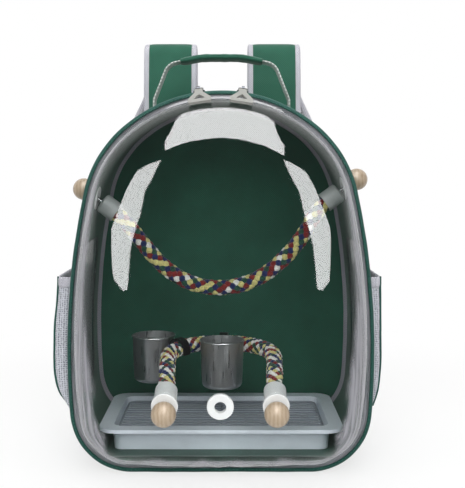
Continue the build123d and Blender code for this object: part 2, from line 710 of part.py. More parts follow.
def grate():
    """Welded wire grate: a frame, long bars and cross wires."""
    width = PAN_W - 2 * TRAY_T - 2 * GRATE_SIDE_GAP
    depth = PAN_D - 2 * TRAY_T - 2 * GRATE_SIDE_GAP
    frame = RectangleRounded(width, depth, TRAY_CORNER_R / 2)
    path = Wire(frame.edges())
    body = sweep(Plane(origin=path @ 0, z_dir=path % 0) * Circle(GRATE_FRAME_R), path=path)
    for at in GridLocations(0, depth / (GRATE_BARS + 1), 1, GRATE_BARS):
        body += at * Rot(0, 90, 0) * Cylinder(GRATE_WIRE_R, width)
    for x in (-width / 3, 0, width / 3):
        body += Pos(x, 0, -GRATE_WIRE_R * 1.2) * Rot(90, 0, 0) * Cylinder(GRATE_WIRE_R, depth)
    return Pos(0, TRAY_Y, GRATE_Z) * body


# ---- side pockets ----
def pocket_profile(bulge, shrink):
    """Front-view region between the side wall and the pocket's mesh."""
    wall = BAG_WIDTH / 2
    low = POCKET_BASE_Z + shrink
    out = bulge - shrink
    foot_x = wall_point(low)[0] + POCKET_SEAM_OUT - shrink
    inside_x = wall - POCKET_FOOT_H
    return make_face(Polyline(
        (inside_x, low), (foot_x, low), (wall + out * 0.62, low + POCKET_FOOT_H),
        (wall + out, low + POCKET_FULL_H), (wall + out, POCKET_TOP_Z), (inside_x, POCKET_TOP_Z),
        close=True,
    ))


def pocket_block(bulge, shrink):
    """Solid of the pocket's space, its ends rounded, outside the wall."""
    half = POCKET_LENGTH / 2 - shrink
    block = prism(pocket_profile(bulge, shrink), -half, half)
    ends = block.edges().filter_by(Axis.Z).filter_by(lambda e: e.center().X > BAG_WIDTH / 2)
    block = fillet(ends, POCKET_ROUND_R - shrink)
    return block - prism(outline(0), SEAM_Y, BACK_Y)


def pocket(bulge):
    """Mesh pocket on the right side, open at its top."""
    mesh = pocket_block(bulge, 0) - pocket_block(bulge, POCKET_T)
    return between_heights(mesh, POCKET_BASE_Z, POCKET_TOP_Z - POCKET_TRIM_H)


def pocket_trim(bulge):
    """Elastic tape along the pocket's mouth."""
    band = pocket_block(bulge, 0) - pocket_block(bulge, POCKET_T + POCKET_TRIM_T)
    return between_heights(band, POCKET_TOP_Z - POCKET_TRIM_H, POCKET_TOP_Z)


def on_side(side, solid):
    """A piece modelled on the right, mirrored for the left."""
    return solid if side > 0 else mirror(solid, about=Plane.YZ)


# ---- back pads and shoulder straps ----
def back_pad(side):
    """Foam pad under air mesh, one each side of the middle channel."""
    height = BACK_PAD_TOP_Z - BACK_PAD_BASE_Z
    pad = Box(BACK_PAD_W, BACK_PAD_T, height)
    pad = fillet(pad.edges().filter_by(Axis.Y), BACK_PAD_W * 0.22)
    pad = fillet(pad.faces().sort_by(Axis.Y)[-1].edges(), BACK_PAD_T * 0.6)
    x = side * (BACK_PAD_CHANNEL + BACK_PAD_W) / 2
    return Pos(x, BACK_FACE_Y + BACK_PAD_T / 2, (BACK_PAD_TOP_Z + BACK_PAD_BASE_Z) / 2) * pad


STRAP_FRONT_Y = BACK_FACE_Y + STRAP_T / 2
STRAP_REAR_Y = BACK_FACE_Y + STRAP_REACH


def strap_line():
    """Side view of the strap's middle: up from the back, over, and down behind the bag."""
    top = STRAP_TOP_Z - STRAP_T / 2
    fold_y = STRAP_FRONT_Y + STRAP_FOLD_W
    points = [
        (STRAP_FRONT_Y, STRAP_FOOT_Z), (STRAP_FRONT_Y, BAG_HEIGHT + STRAP_FOLD_W * 0.9),
        (STRAP_FRONT_Y + STRAP_FOLD_W * 0.15, top), (fold_y, top - STRAP_FOLD_W * 0.12),
        (STRAP_REAR_Y - STRAP_REACH * 0.115, BAG_HEIGHT * 0.94), (STRAP_REAR_Y, BAG_HEIGHT * 0.62),
        (STRAP_REAR_Y - STRAP_REACH * 0.154, BAG_HEIGHT * 0.43),
        (STRAP_REAR_Y - STRAP_REACH / 2, STRAP_TIP_Z),
    ]
    radii = [STRAP_FOOT_R, STRAP_FOLD_R, STRAP_FOLD_R, STRAP_SHOULDER_R, STRAP_DROP_R, STRAP_DROP_R]
    return FilletPolyline(*points, radius=radii)


TIP_X = STRAP_X + STRAP_SPLAY * 0.9
SPLAY_TOP_Z = BAG_HEIGHT * 1.048


def strap_shape():
    """Rear view of the right strap: straight at the top, splayed and narrower below."""
    half = STRAP_W / 2
    tip = STRAP_TIP_W / 2
    low = STRAP_TIP_Z - STRAP_T
    down = [(0, -1), (0, -1)]
    inner = Spline(
        (STRAP_X - half, SPLAY_TOP_Z), (STRAP_X + STRAP_SPLAY * 0.55 - half, BAG_HEIGHT * 0.84),
        (STRAP_X + STRAP_SPLAY * 1.09 - half, BAG_HEIGHT * 0.6), (TIP_X - tip, low), tangents=down,
    )
    outer = Spline(
        (STRAP_X + half, SPLAY_TOP_Z), (STRAP_X + STRAP_SPLAY * 0.75 + half, BAG_HEIGHT * 0.84),
        (STRAP_X + STRAP_SPLAY + half, BAG_HEIGHT * 0.62), (TIP_X + tip, low), tangents=down,
    )
    top = Polyline(inner @ 0, (STRAP_X - half, FAR / 1.5), (STRAP_X + half, FAR / 1.5), outer @ 0)
    return make_face(inner + outer + top + Line(inner @ 1, outer @ 1))


def strap():
    """Padded shoulder strap on the right."""
    side_view = trace(strap_line(), STRAP_T)
    band = extrude(Plane.YZ * side_view, amount=BAG_WIDTH / 2)
    fold_y = STRAP_FRONT_Y + STRAP_T
    straight = prism(Pos(STRAP_X, FAR / 2) * Rectangle(STRAP_W, FAR), 0, fold_y)
    splayed = prism(strap_shape(), fold_y, FAR / 2)
    return band & (straight + splayed)


def webbing_line():
    """Side view of the lower webbing, from inside the strap's tip to the bag's lower corner."""
    top_y = BACK_FACE_Y + TAIL_BEHIND
    foot_y = BACK_FACE_Y + ANCHOR_T + WEBBING_T
    return FilletPolyline(
        (top_y, STRAP_TIP_Z - WEBBING_T / 2), (top_y - TAIL_RUN * 0.13, STRAP_TIP_Z - TAIL_RUN),
        (foot_y, ANCHOR_Z + TAIL_FOOT_H), (foot_y - WEBBING_T / 2, ANCHOR_Z - TAIL_SEWN_H),
        radius=[TAIL_R, TAIL_FOOT_R],
    )


def strap_webbing():
    """Webbing between the right strap and the anchor at the bag's lower corner."""
    band = extrude(Plane.YZ * trace(webbing_line(), WEBBING_T), amount=BAG_WIDTH / 2)
    half = WEBBING_W / 2
    low = ANCHOR_Z - TAIL_SEWN_H - WEBBING_T
    run = make_face(Polyline(
        (TIP_X - half, STRAP_TIP_Z), (TIP_X + half, STRAP_TIP_Z),
        (ANCHOR_X + half, low), (ANCHOR_X - half, low), close=True,
    ))
    return band & prism(run, 0, FAR / 2)


def ladder_lock():
    """Moulded buckle with three bars at the right strap's tip."""
    frame = RectangleRounded(LOCK_W, LOCK_H, 4)
    slot_w = WEBBING_W + 2
    slot_h = (LOCK_H - 3 * LOCK_BAR) / 2
    for at in GridLocations(0, slot_h + LOCK_BAR, 1, 2):
        frame -= at * RectangleRounded(slot_w, slot_h, 1.5)
    line = webbing_line()
    start = line @ 0
    down = line % 0
    behind = (LOCK_T + WEBBING_T) / 2 + PAD_GAP
    y = start.X + down.X * LOCK_H * 0.8 - down.Y * behind
    z = start.Y + down.Y * LOCK_H * 0.8 + down.X * behind
    plane = Plane(origin=(TIP_X, y, z), x_dir=(1, 0, 0), z_dir=(0, -down.Y, down.X))
    return plane * extrude(frame, amount=LOCK_T / 2, both=True)


def anchor_tab():
    """Sewn triangle at the right lower corner of the back."""
    half = ANCHOR_SIZE / 2
    low = ANCHOR_Z - half * 0.6
    shape = make_face(Polyline(
        (ANCHOR_X - half, low), (ANCHOR_X + half * 0.55, low),
        (ANCHOR_X + half * 0.75, ANCHOR_Z + half), (ANCHOR_X - half * 0.6, ANCHOR_Z + half), close=True,
    ))
    shape = fillet(shape.vertices(), ANCHOR_SIZE * 0.09)
    return prism(shape, BACK_FACE_Y, BACK_FACE_Y + ANCHOR_T)


def build():
    """All sub-parts by node name."""
    nodes = {}
    wall = gusset()
    nodes["bottom_panel"] = between_heights(wall, 0, CORNER_TOP_Z)
    sides = between_heights(wall, CORNER_TOP_Z, SIDE_SEAM_Z)
    nodes["crown_panel"] = between_heights(wall, SIDE_SEAM_Z, BAG_HEIGHT)
    nodes["back_panel"] = prism(outline(BINDING_W), BACK_Y, BACK_FACE_Y)
    nodes["back_binding"] = back_binding()
    nodes["floor_pad"] = floor_pad()
    nodes["hinge_flap"] = hinge_flap()
    nodes["zip_chain_bag"] = zip_chain(SEAM_Y + CHAIN_GAP / 2, SEAM_Y + ZIP_HALF)
    nodes["zip_chain_door"] = zip_chain(DOOR_Y, SEAM_Y - CHAIN_GAP / 2)
    shell = dome()
    nodes["clear_dome"] = shell
    nodes["dome_grommets"] = grommets((*LOWER_SEATS.values(), CENTRE_SEAT), DOME_T, shell)
    nodes["wall_grommets"] = grommets(UPPER_SEATS.values(), WALL_T, wall)
    nodes["studs_upper"] = studs(UPPER_SEATS, WALL_T)
    nodes["studs_lower"] = studs(LOWER_SEATS, DOME_T)
    nodes["door_binding"] = door_binding()
    nodes["handle_webbing"] = handle_webbing()
    nodes["handle_grip"] = handle_grip()
    nodes["handle_patches"] = Compound([handle_patch(-1), handle_patch(1)])
    nodes["perch_rope_upper"] = rope(UPPER_LINE)
    nodes["perch_rope_lower"] = rope(LOWER_LINE)
    nodes["tray"] = tray()
    nodes["tray_grate"] = grate()
    link = pull_link()
    tab = pull_tab(link)
    body = slider()
    lower_strap = strap()
    webbing = strap_webbing()
    lock = ladder_lock()
    anchor = anchor_tab()
    for name, side in (("left", -1), ("right", 1)):
        half = side_of(sides, side)
        nodes[f"side_panel_{name}"] = half - window_prism(side)
        nodes[f"side_mesh_{name}"] = mesh_window(side)
        bulge = POCKET_LEFT_BULGE if side < 0 else POCKET_RIGHT_BULGE
        nodes[f"pocket_{name}"] = on_side(side, pocket(bulge))
        nodes[f"pocket_trim_{name}"] = on_side(side, pocket_trim(bulge))
        nodes[f"zip_slider_{name}"] = along_crown(side, on_side(side, body))
        nodes[f"pull_link_{name}"] = along_crown(side, link)
        nodes[f"pull_tab_{name}"] = along_crown(side, tab)
        for level, seats, wall_t in (("upper", UPPER_SEATS, WALL_T), ("lower", LOWER_SEATS, DOME_T)):
            _, screw, lean = seats[name]
            nodes[f"ferrule_{level}_{name}"] = ferrule(screw, wall_t, lean)
            nodes[f"ball_{level}_{name}"] = ball_knob(screw, wall_t, lean)
        cup_body, hook, rivets = cup_parts(name)
        nodes[f"cup_{name}"] = cup_body
        nodes[f"cup_hook_{name}"] = hook
        nodes[f"cup_rivets_{name}"] = rivets
        nodes[f"back_pad_{name}"] = back_pad(side)
        nodes[f"shoulder_strap_{name}"] = on_side(side, lower_strap)
        nodes[f"strap_webbing_{name}"] = on_side(side, webbing)
        nodes[f"ladder_lock_{name}"] = on_side(side, lock)
        nodes[f"anchor_tab_{name}"] = on_side(side, anchor)
    return nodes


os.makedirs("parts", exist_ok=True)
for node_name, node_solid in build().items():
    export_step(node_solid, f"parts/{node_name}.step")
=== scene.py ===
from math import acos, atan2, cos, pi, radians, sin, sqrt, tan

import bmesh
import bpy
import numpy as np
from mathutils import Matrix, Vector


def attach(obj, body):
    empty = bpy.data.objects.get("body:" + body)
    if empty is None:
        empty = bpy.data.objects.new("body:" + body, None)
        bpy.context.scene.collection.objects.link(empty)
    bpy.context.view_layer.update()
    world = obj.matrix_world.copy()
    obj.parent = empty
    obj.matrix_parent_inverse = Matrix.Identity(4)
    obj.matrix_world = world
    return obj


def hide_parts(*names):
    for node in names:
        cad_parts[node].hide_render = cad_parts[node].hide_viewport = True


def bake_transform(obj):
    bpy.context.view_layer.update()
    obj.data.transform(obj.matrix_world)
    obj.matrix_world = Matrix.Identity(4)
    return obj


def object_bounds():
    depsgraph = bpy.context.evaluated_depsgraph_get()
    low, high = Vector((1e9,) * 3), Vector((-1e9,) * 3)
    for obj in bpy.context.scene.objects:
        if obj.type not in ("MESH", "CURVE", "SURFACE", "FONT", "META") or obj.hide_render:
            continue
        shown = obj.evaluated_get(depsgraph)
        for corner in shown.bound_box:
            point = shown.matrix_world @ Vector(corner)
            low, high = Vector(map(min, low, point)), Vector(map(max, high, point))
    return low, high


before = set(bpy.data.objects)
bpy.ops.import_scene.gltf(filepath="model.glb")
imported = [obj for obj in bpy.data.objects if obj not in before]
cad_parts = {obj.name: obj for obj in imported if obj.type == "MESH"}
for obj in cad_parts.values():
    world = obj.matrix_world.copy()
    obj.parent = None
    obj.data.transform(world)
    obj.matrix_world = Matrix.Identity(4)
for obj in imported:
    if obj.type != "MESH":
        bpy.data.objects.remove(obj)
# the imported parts' own box, read before anything is dressed
CAD_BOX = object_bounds()

# ---- camera ----
# The eye is level, a little right of the bag's middle and two thirds of the way up it. The lens is
# shifted down instead of tilted, so that the bag's sides stay upright.
PICTURE_W = 465
PICTURE_H = 488
EYE = Vector((0.009, -1.008, 0.327))
LEVEL_X = 229
LEVEL_Y = 175
FOCAL = 824
SENSOR = 36.0

camera_data = bpy.data.cameras.new("camera")
camera_data.sensor_fit = "HORIZONTAL"
camera_data.sensor_width = SENSOR
camera_data.lens = SENSOR * FOCAL / PICTURE_W
camera_data.shift_x = (PICTURE_W / 2 - LEVEL_X) / PICTURE_W
camera_data.shift_y = (LEVEL_Y - PICTURE_H / 2) / PICTURE_W
camera_data.clip_start = 0.02
camera = bpy.data.objects.new("camera", camera_data)
camera.location = EYE
camera.rotation_euler = (pi / 2, 0, 0)
bpy.context.scene.collection.objects.link(camera)
bpy.context.scene.camera = camera

# ---- rope perches ----
# Each perch is a stiff braided cotton rope, about 18 mm thick, glued into a moulded cap at each end.
# The braid has as many strands turning left as right, dyed in five colours over a plain core.
MM = 0.001
ROPE_R = 9.25 * MM
UPPER_Y = -18
UPPER_ROUTE = [
    (-137.0, UPPER_Y, 289.6), (-118.4, UPPER_Y, 276.1), (-98, UPPER_Y, 249), (-71, UPPER_Y, 217),
    (-37.5, UPPER_Y, 195.5), (1.5, UPPER_Y, 190), (40, UPPER_Y, 199), (73, UPPER_Y, 223),
    (100.5, UPPER_Y, 256.5), (116.4, UPPER_Y, 288.4), (135.0, UPPER_Y, 301.9),
]
LOWER_ROUTE = [
    (-58.0, -140.1, 91.4), (-58.0, -118.4, 99.3), (-60.5, -82, 113), (-61.5, -42, 119.5), (-38, -9.6, 121.5),
    (0, 2.8, 122), (38, -9.6, 121.5), (61.5, -42, 119.5), (60.5, -82, 113), (58.0, -118.4, 99.3),
    (58.0, -140.1, 91.4),
]
STRAND_STEP = 1.2 * MM
YARN_PITCH = 1.59 * MM
BRAID_ANGLE = radians(34)
BRAID_R = 0.73 * ROPE_R
STRAND_HALF_T = 0.175 * ROPE_R
STRAND_OVERLAP = 1.16
CORE_R = 0.66 * ROPE_R
ROPE_HEX = {"navy": "17265a", "maroon": "7c1f1d", "straw": "d9cf86", "white": "f0eee8", "green": "1f4a3a"}
UPPER_STRANDS = ["navy", "maroon", "navy", "straw", "navy", "straw"]
UPPER_BACK_STRANDS = ["white", "green", "maroon", "straw", "green", "maroon"]
LOWER_STRANDS = ["navy", "white", "green", "straw", "maroon", "white", "navy", "green"]
LOWER_BACK_STRANDS = ["maroon", "straw", "navy", "white", "maroon", "green", "straw", "white"]


def hex_colour(code):
    """sRGB hex code as a linear colour with full alpha."""
    shares = [int(code[i:i + 2], 16) / 255 for i in (0, 2, 4)]
    return (*[s / 12.92 if s <= 0.04045 else ((s + 0.055) / 1.055) ** 2.4 for s in shares], 1.0)


def dimmed(colour, share):
    """A linear colour scaled by share."""
    return (*[c * share for c in colour[:3]], 1.0)


def set_node(tree, node, settings):
    """Lower-case keys, which come first, are the node's own values; the others are inputs to set or link."""
    for key, value in settings.items():
        if isinstance(key, str) and key.islower():
            setattr(node, key, value)
        elif isinstance(value, bpy.types.NodeSocket):
            tree.links.new(value, node.inputs[key])
        else:
            node.inputs[key].default_value = value
    return node


def add_node(tree, kind, settings):
    """Adds a node with its settings and links."""
    return set_node(tree, tree.nodes.new("ShaderNode" + kind), settings)


def new_material(name):
    """Material with its node tree and its Principled shader."""
    made = bpy.data.materials.new(name)
    made.use_nodes = True
    return made, made.node_tree, made.node_tree.nodes["Principled BSDF"]


def grain(tree, size, detail=2.0):
    """Cloudy pattern whose blobs are about size metres across."""
    place = add_node(tree, "TexCoord", {}).outputs["Object"]
    return add_node(tree, "TexNoise", {"Vector": place, "Scale": 1 / size, "Detail": detail}).outputs[0]


def shade(tree, factor, dark, light, low=0.3, high=0.7):
    """Colour that runs from dark to light as factor runs from low to high."""
    ramp = add_node(tree, "MapRange", {0: factor, "From Min": low, "From Max": high})
    return add_node(tree, "Mix", {"data_type": "RGBA", 0: ramp.outputs[0], 6: dark, 7: light}).outputs[2]


def mesh_piece(name, vertices, faces, materials, smooth=True, uvs=None, indices=None):
    """Object with a mesh; uvs holds one pair in metres per vertex, indices a material per face."""
    mesh = bpy.data.meshes.new(name)
    mesh.from_pydata([tuple(v) for v in vertices], [], faces)
    for material in materials:
        mesh.materials.append(material)
    mesh.polygons.foreach_set("use_smooth", [smooth] * len(mesh.polygons))
    if indices is not None:
        mesh.polygons.foreach_set("material_index", indices)
    if uvs is not None:
        layer = mesh.uv_layers.new(name="metres")
        corner_vertex = np.zeros(len(mesh.loops), int)
        mesh.loops.foreach_get("vertex_index", corner_vertex)
        layer.data.foreach_set("uv", np.asarray(uvs, float)[corner_vertex].ravel())
    mesh.update()
    made = bpy.data.objects.new(name, mesh)
    bpy.context.scene.collection.objects.link(made)
    return made


def grid_faces(rows, columns, wrap_rows=False, wrap_columns=False, start=0, caps=False):
    """Quads of a grid of vertices stored row by row; caps close its first and last row."""
    faces = []
    for i in range(rows if wrap_rows else rows - 1):
        for j in range(columns if wrap_columns else columns - 1):
            a, b = i * columns, (i + 1) % rows * columns
            k = (j + 1) % columns
            faces.append((start + a + j, start + b + j, start + b + k, start + a + k))
    if caps:
        faces.append([start + j for j in range(columns)][::-1])
        faces.append([start + (rows - 1) * columns + j for j in range(columns)])
    return faces


def lengths_along(points):
    """Distance of each point from the first, along the line through them."""
    return np.concatenate([[0], np.cumsum(np.linalg.norm(np.diff(points, axis=0), axis=1))])


def at_lengths(steps, along, points):
    """Points of a line at the distances steps, where along holds those of its own points."""
    return np.stack([np.interp(steps, along, points[:, k]) for k in range(points.shape[1])], axis=-1)


def circle(count):
    """Unit circle as count pairs."""
    return [(cos(2 * pi * k / count), sin(2 * pi * k / count)) for k in range(count)]


def route_points(route):
    """Evenly spaced points along the rope's smooth middle line, with a frame at each."""
    curve = bpy.data.curves.new("route", "CURVE")
    curve.dimensions = "3D"
    spline = curve.splines.new("NURBS")
    spline.points.add(len(route) - 1)
    for point, place in zip(spline.points, route):
        point.co = (*[c * MM for c in place], 1)
    spline.order_u = 3
    spline.use_endpoint_u = True
    spline.resolution_u = 24
    holder = bpy.data.objects.new("route", curve)
    bpy.context.scene.collection.objects.link(holder)
    line = bpy.data.meshes.new_from_object(holder)
    points = np.array([v.co for v in line.vertices], float)
    bpy.data.objects.remove(holder)
    along = lengths_along(points)
    steps = np.linspace(0, along[-1], int(along[-1] / STRAND_STEP))
    even = at_lengths(steps, along, points)
    tangents = np.gradient(even, axis=0)
    tangents /= np.linalg.norm(tangents, axis=1)[:, None]
    side = np.cross(tangents[0], (0.3, 0.2, 1.0))
    sides = []
    for tangent in tangents:
        side = side - tangent * side.dot(tangent)
        side /= np.linalg.norm(side)
        sides.append(side)
    sides = np.array(sides)
    return even, sides, np.cross(tangents, sides), steps


def braid(name, route, strands, back_strands):
    """Braided rope: strands that wind both ways and pass over and under each other, over a core."""
    even, sides, ups, steps = route_points(route)
    count = len(strands)
    turn = tan(BRAID_ANGLE) / BRAID_R
    half_w = pi * BRAID_R / count * cos(BRAID_ANGLE) * STRAND_OVERLAP
    section, ring = circle(8), circle(16)
    vertices, faces, indices, uvs = [], [], [], []
    dyes = list(ROPE_HEX)
    for way, set_of in ((1, strands), (-1, back_strands)):
        for k, dye in enumerate(set_of):
            angle = way * turn * steps + 2 * pi * k / count
            weave = np.cos(count * turn * steps) * way
            radius = BRAID_R + STRAND_HALF_T * 0.72 * weave
            out = sides * np.cos(angle)[:, None] + ups * np.sin(angle)[:, None]
            centre = even + out * radius[:, None]
            heading = np.gradient(centre, axis=0)
            heading /= np.linalg.norm(heading, axis=1)[:, None]
            across = np.cross(out, heading)
            across /= np.linalg.norm(across, axis=1)[:, None]
            swell = 1 + 0.1 * weave
            made = grid_faces(len(steps), len(section), wrap_columns=True, start=len(vertices), caps=True)
            for i in range(len(steps)):
                for a, b in section:
                    vertices.append(centre[i] + across[i] * a * half_w * swell[i] + out[i] * b * STRAND_HALF_T)
                    uvs.append((steps[i], a * half_w))
            faces += made
            indices += [dyes.index(dye)] * len(made)
    made = grid_faces(len(steps), len(ring), wrap_columns=True, start=len(vertices), caps=True)
    for i in range(len(steps)):
        for a, b in ring:
            vertices.append(even[i] + (sides[i] * a + ups[i] * b) * CORE_R)
            uvs.append((steps[i], b * ROPE_R))
    faces += made
    indices += [dyes.index("green")] * len(made)
    piece = mesh_piece(name, vertices, faces, list(ROPE_MATERIALS.values()), uvs=uvs, indices=indices)
    return piece, [tuple(p) for p in even], float(steps[-1])


def cotton_yarn(name, code):
    """Spun cotton: matt, with fine plied yarns along the strand and a little fuzz."""
    made, tree, shader = new_material(name)
    place = add_node(tree, "TexCoord", {}).outputs["UV"]
    # the real yarns are about 1 mm apart; drawn a little coarser so that they show. At scale 1 a
    # diagonal wave repeats every 2 pi / (10 sqrt 2) metres
    yarns = add_node(tree, "TexWave", {"bands_direction": "DIAGONAL", "Vector": place,
                                       "Scale": 2 * pi / (10 * sqrt(2) * YARN_PITCH),
                                       "Distortion": 1.2}).outputs["Fac"]
    raised = add_node(tree, "Bump", {"Height": yarns, "Distance": 0.35 * MM}).outputs[0]
    dyed = hex_colour(code)
    mottled = shade(tree, grain(tree, 2.5 * MM), dimmed(dyed, 0.62), dyed, 0.25, 0.6)
    set_node(tree, shader, {"Base Color": mottled, "Roughness": 0.92, "Specular IOR Level": 0.2,
                            "Sheen Weight": 0.25, "Normal": raised})
    return made


ROPE_MATERIALS = {dye: cotton_yarn(f"cotton_{dye}", code) for dye, code in ROPE_HEX.items()}
for level, body, route, strands, back_strands in (
        ("upper", "bag", UPPER_ROUTE, UPPER_STRANDS, UPPER_BACK_STRANDS),
        ("lower", "door", LOWER_ROUTE, LOWER_STRANDS, LOWER_BACK_STRANDS)):
    rope, rope_path, rope_length = braid(f"perch_braid_{level}", route, strands, back_strands)
    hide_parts(f"perch_rope_{level}")
    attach(rope, body)

# ---- side wall of the bag ----
# The wall is one tube of 600 denier polyester cloth over thin foam: a base, two sides and a crown,
# sewn together with taped seams. Its front edge carries the zip and its back edge the back panel.
BAG_WIDTH = 338 * MM
BAG_HEIGHT = 420 * MM
HALF_DEPTH = 93 * MM
CORNER_R = 68 * MM
CROWN_R = 165 * MM
SIDE_LEAN = radians(5)
SHOULDER_LEAN = radians(12)
CROWN_HALF = radians(42)
WALL_T = 3 * MM
ZIP_HALF = 3 * MM
SIDE_SEAM_Z = 268 * MM
BASE_SEAM_Z = CORNER_R * (1 - sin(SIDE_LEAN))
WINDOW_Y = 56 * MM
WINDOW_LOW = 72 * MM
WINDOW_TOP = 248 * MM
WINDOW_R = 22 * MM
OUTLINE_STEP = 2.2 * MM
SHELL_HEX = "235e4a"
SHELL_DIP_SHADE_HEX = "194b3b"
WALL_SWELL = 1.1 * MM


def outline_radii():
    """Radii of the side and shoulder arcs that join the corner and the crown."""
    across = BAG_WIDTH / 2 - CROWN_R * sin(CROWN_HALF)
    up = BAG_HEIGHT - CORNER_R * (1 - sin(SIDE_LEAN)) - CROWN_R * (1 - cos(CROWN_HALF))
    rows = [
        [1 - cos(SHOULDER_LEAN), cos(SHOULDER_LEAN) - sin(CROWN_HALF)],
        [sin(SIDE_LEAN) + sin(SHOULDER_LEAN), cos(CROWN_HALF) - sin(SHOULDER_LEAN)],
    ]
    return np.linalg.solve(rows, [across, up])


def outline_arcs():
    """The right half of the front outline as (centre, radius, first angle, last angle)."""
    side_r, shoulder_r = outline_radii()
    half_base = BAG_WIDTH / 2 - CORNER_R * cos(SIDE_LEAN) - side_r * (1 - cos(SIDE_LEAN))
    side = np.array([BAG_WIDTH / 2 - side_r, BASE_SEAM_Z + side_r * sin(SIDE_LEAN)])
    lean = np.array([cos(SHOULDER_LEAN), sin(SHOULDER_LEAN)])
    shoulder = side + (side_r - shoulder_r) * lean
    return half_base, [
        (np.array([half_base, CORNER_R]), CORNER_R, -pi / 2, -SIDE_LEAN),
        (side, side_r, -SIDE_LEAN, SHOULDER_LEAN),
        (shoulder, shoulder_r, SHOULDER_LEAN, pi / 2 - CROWN_HALF),
        (np.array([0, BAG_HEIGHT - CROWN_R]), CROWN_R, pi / 2 - CROWN_HALF, pi / 2),
    ]


def outline_samples(step):
    """Points (x, z) all round the outline from the middle of the base, with outward normals and distances."""
    half_base, arcs = outline_arcs()
    count = max(int(half_base / step), 8)
    points = [(half_base * k / count, 0.0) for k in range(count)]
    normals = [(0.0, -1.0)] * count
    for centre, radius, first, last in arcs:
        count = max(int(radius * (last - first) / step), 6)
        for k in range(count):
            angle = first + (last - first) * k / count
            normals.append((cos(angle), sin(angle)))
            points.append(tuple(centre + radius * np.array(normals[-1])))
    points.append((0.0, BAG_HEIGHT))
    normals.append((0.0, 1.0))
    points = np.array(points + [(-x, z) for x, z in points[-2:0:-1]])
    normals = np.array(normals + [(-x, z) for x, z in normals[-2:0:-1]])
    gaps = np.linalg.norm(np.roll(points, -1, axis=0) - points, axis=1)
    return points, normals, np.concatenate([[0], np.cumsum(gaps)[:-1]])


RIM, RIM_OUT, RIM_ALONG = outline_samples(OUTLINE_STEP)
RIM_LENGTH = RIM_ALONG[-1] + np.linalg.norm(RIM[-1] - RIM[0])


def ripple(a, b, size, seed):
    """Smooth, repeatable unevenness between -1 and 1, with swells about size metres apart."""
    total = 0
    for k in range(4):
        turn = seed * 1.7 + k * 2.399
        wave = 2 * pi / size * (0.7 + 0.35 * k)
        total = total + np.sin(wave * (a * cos(turn) + b * sin(turn)) + seed * 5.1 + k * 1.3)
    return total / 4


def around(name, profile, materials, closed=True, span=None, relief=None):
    """Sweeps a profile of (inset, y) pairs round the outline, or along the part of it that span keeps."""
    keep = np.arange(len(RIM)) if span is None else span
    vertices, uvs = [], []
    lengths = lengths_along(profile)
    for i in keep:
        for (inset, y), v in zip(profile, lengths):
            lift = 0 if relief is None else relief(RIM_ALONG[i], y, inset)
            x, z = RIM[i] - RIM_OUT[i] * (inset - lift)
            vertices.append((x, y, z))
            uvs.append((RIM_ALONG[i], v))
    faces = grid_faces(len(keep), len(profile), wrap_rows=span is None, wrap_columns=closed,
                       caps=closed and span is not None)
    return mesh_piece(name, vertices, faces, materials, uvs=uvs)


def woven(name, light, dark, pitch, depth, roughness=0.82):
    """Plain-woven cloth: raised yarns both ways, pitch metres apart, with painted shade in the sunk cells and
    cloudy unevenness of the dye.
    """
    made, tree, shader = new_material(name)
    place = add_node(tree, "TexCoord", {}).outputs["UV"]
    parts = add_node(tree, "SeparateXYZ", {0: place})
    waves = []
    for k in (0, 1):
        turned = add_node(tree, "Math", {"operation": "MULTIPLY", 0: parts.outputs[k], 1: pi / pitch})
        waves.append(add_node(tree, "Math", {"operation": "SINE", 0: turned.outputs[0]}).outputs[0])
    weave = add_node(tree, "Math", {"operation": "MULTIPLY", 0: waves[0], 1: waves[1]}).outputs[0]
    lifted = add_node(tree, "MapRange", {0: weave, "From Min": -1.0, "From Max": 1.0}).outputs[0]
    raised = add_node(tree, "Bump", {"Height": lifted, "Distance": depth}).outputs[0]
    # painted shade: the yarn colour runs to dark in the sunk cells of the weave
    yarn = shade(tree, lifted, hex_colour(dark), hex_colour(light), 0.1, 0.8)
    cloud = add_node(tree, "MapRange", {0: grain(tree, 45 * MM, 3.0), "From Min": 0.3, "From Max": 0.7,
                                        "To Min": 0.86, "To Max": 1.1}).outputs[0]
    cloudy = add_node(tree, "VectorMath", {"operation": "SCALE", 0: yarn, "Scale": cloud}).outputs[0]
    set_node(tree, shader, {"Base Color": cloudy, "Roughness": roughness, "Specular IOR Level": 0.3,
                            "Sheen Weight": 0.15, "Normal": raised})
    return made


def belongs(body, slot, *pieces):
    """Attaches pieces to the body that carries them; slot is not used."""
    for piece in pieces:
        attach(piece, body)


# Oxford-woven polyester is matt, with a fine grid of yarns, painted shade in the sunk cells between them and a
# faint cloudiness where the dye took unevenly. The real yarns are 0.5 mm apart; drawn at 1.3 mm so that the weave
# shows.
POLYESTER = woven("polyester_oxford_green", SHELL_HEX, SHELL_DIP_SHADE_HEX, 1.3 * MM, 0.18 * MM)
# Grosgrain tape is closer and a little shinier, and darker than the cloth. Its real ribs are 0.7 mm apart;
# drawn at 1.6 mm so that they show.
BINDING_TAPE = woven("grosgrain_tape_green", "1e5148", "123a33", 1.6 * MM, 0.22 * MM, 0.7)


def in_window(y, z, margin=0.0):
    """True inside the rounded window of a side, grown by margin."""
    middle = (WINDOW_LOW + WINDOW_TOP) / 2
    half_y, half_z = WINDOW_Y + margin, (WINDOW_TOP - WINDOW_LOW) / 2 + margin
    corner = WINDOW_R + margin
    over_y = max(abs(y) - half_y + corner, 0)
    over_z = max(abs(z - middle) - half_z + corner, 0)
    return over_y * over_y + over_z * over_z < corner * corner


def wall_relief(along, y, inset):
    """The cloth stands proud between its seams and dips at them, up to 1 mm."""
    edge = min(abs(y + HALF_DEPTH - ZIP_HALF), abs(y - HALF_DEPTH)) / (28 * MM)
    rise = min(edge, 1.0) * WALL_SWELL
    return rise * (0.55 + 0.45 * ripple(along, y, 120 * MM, 3)) if inset < WALL_T / 2 else 0


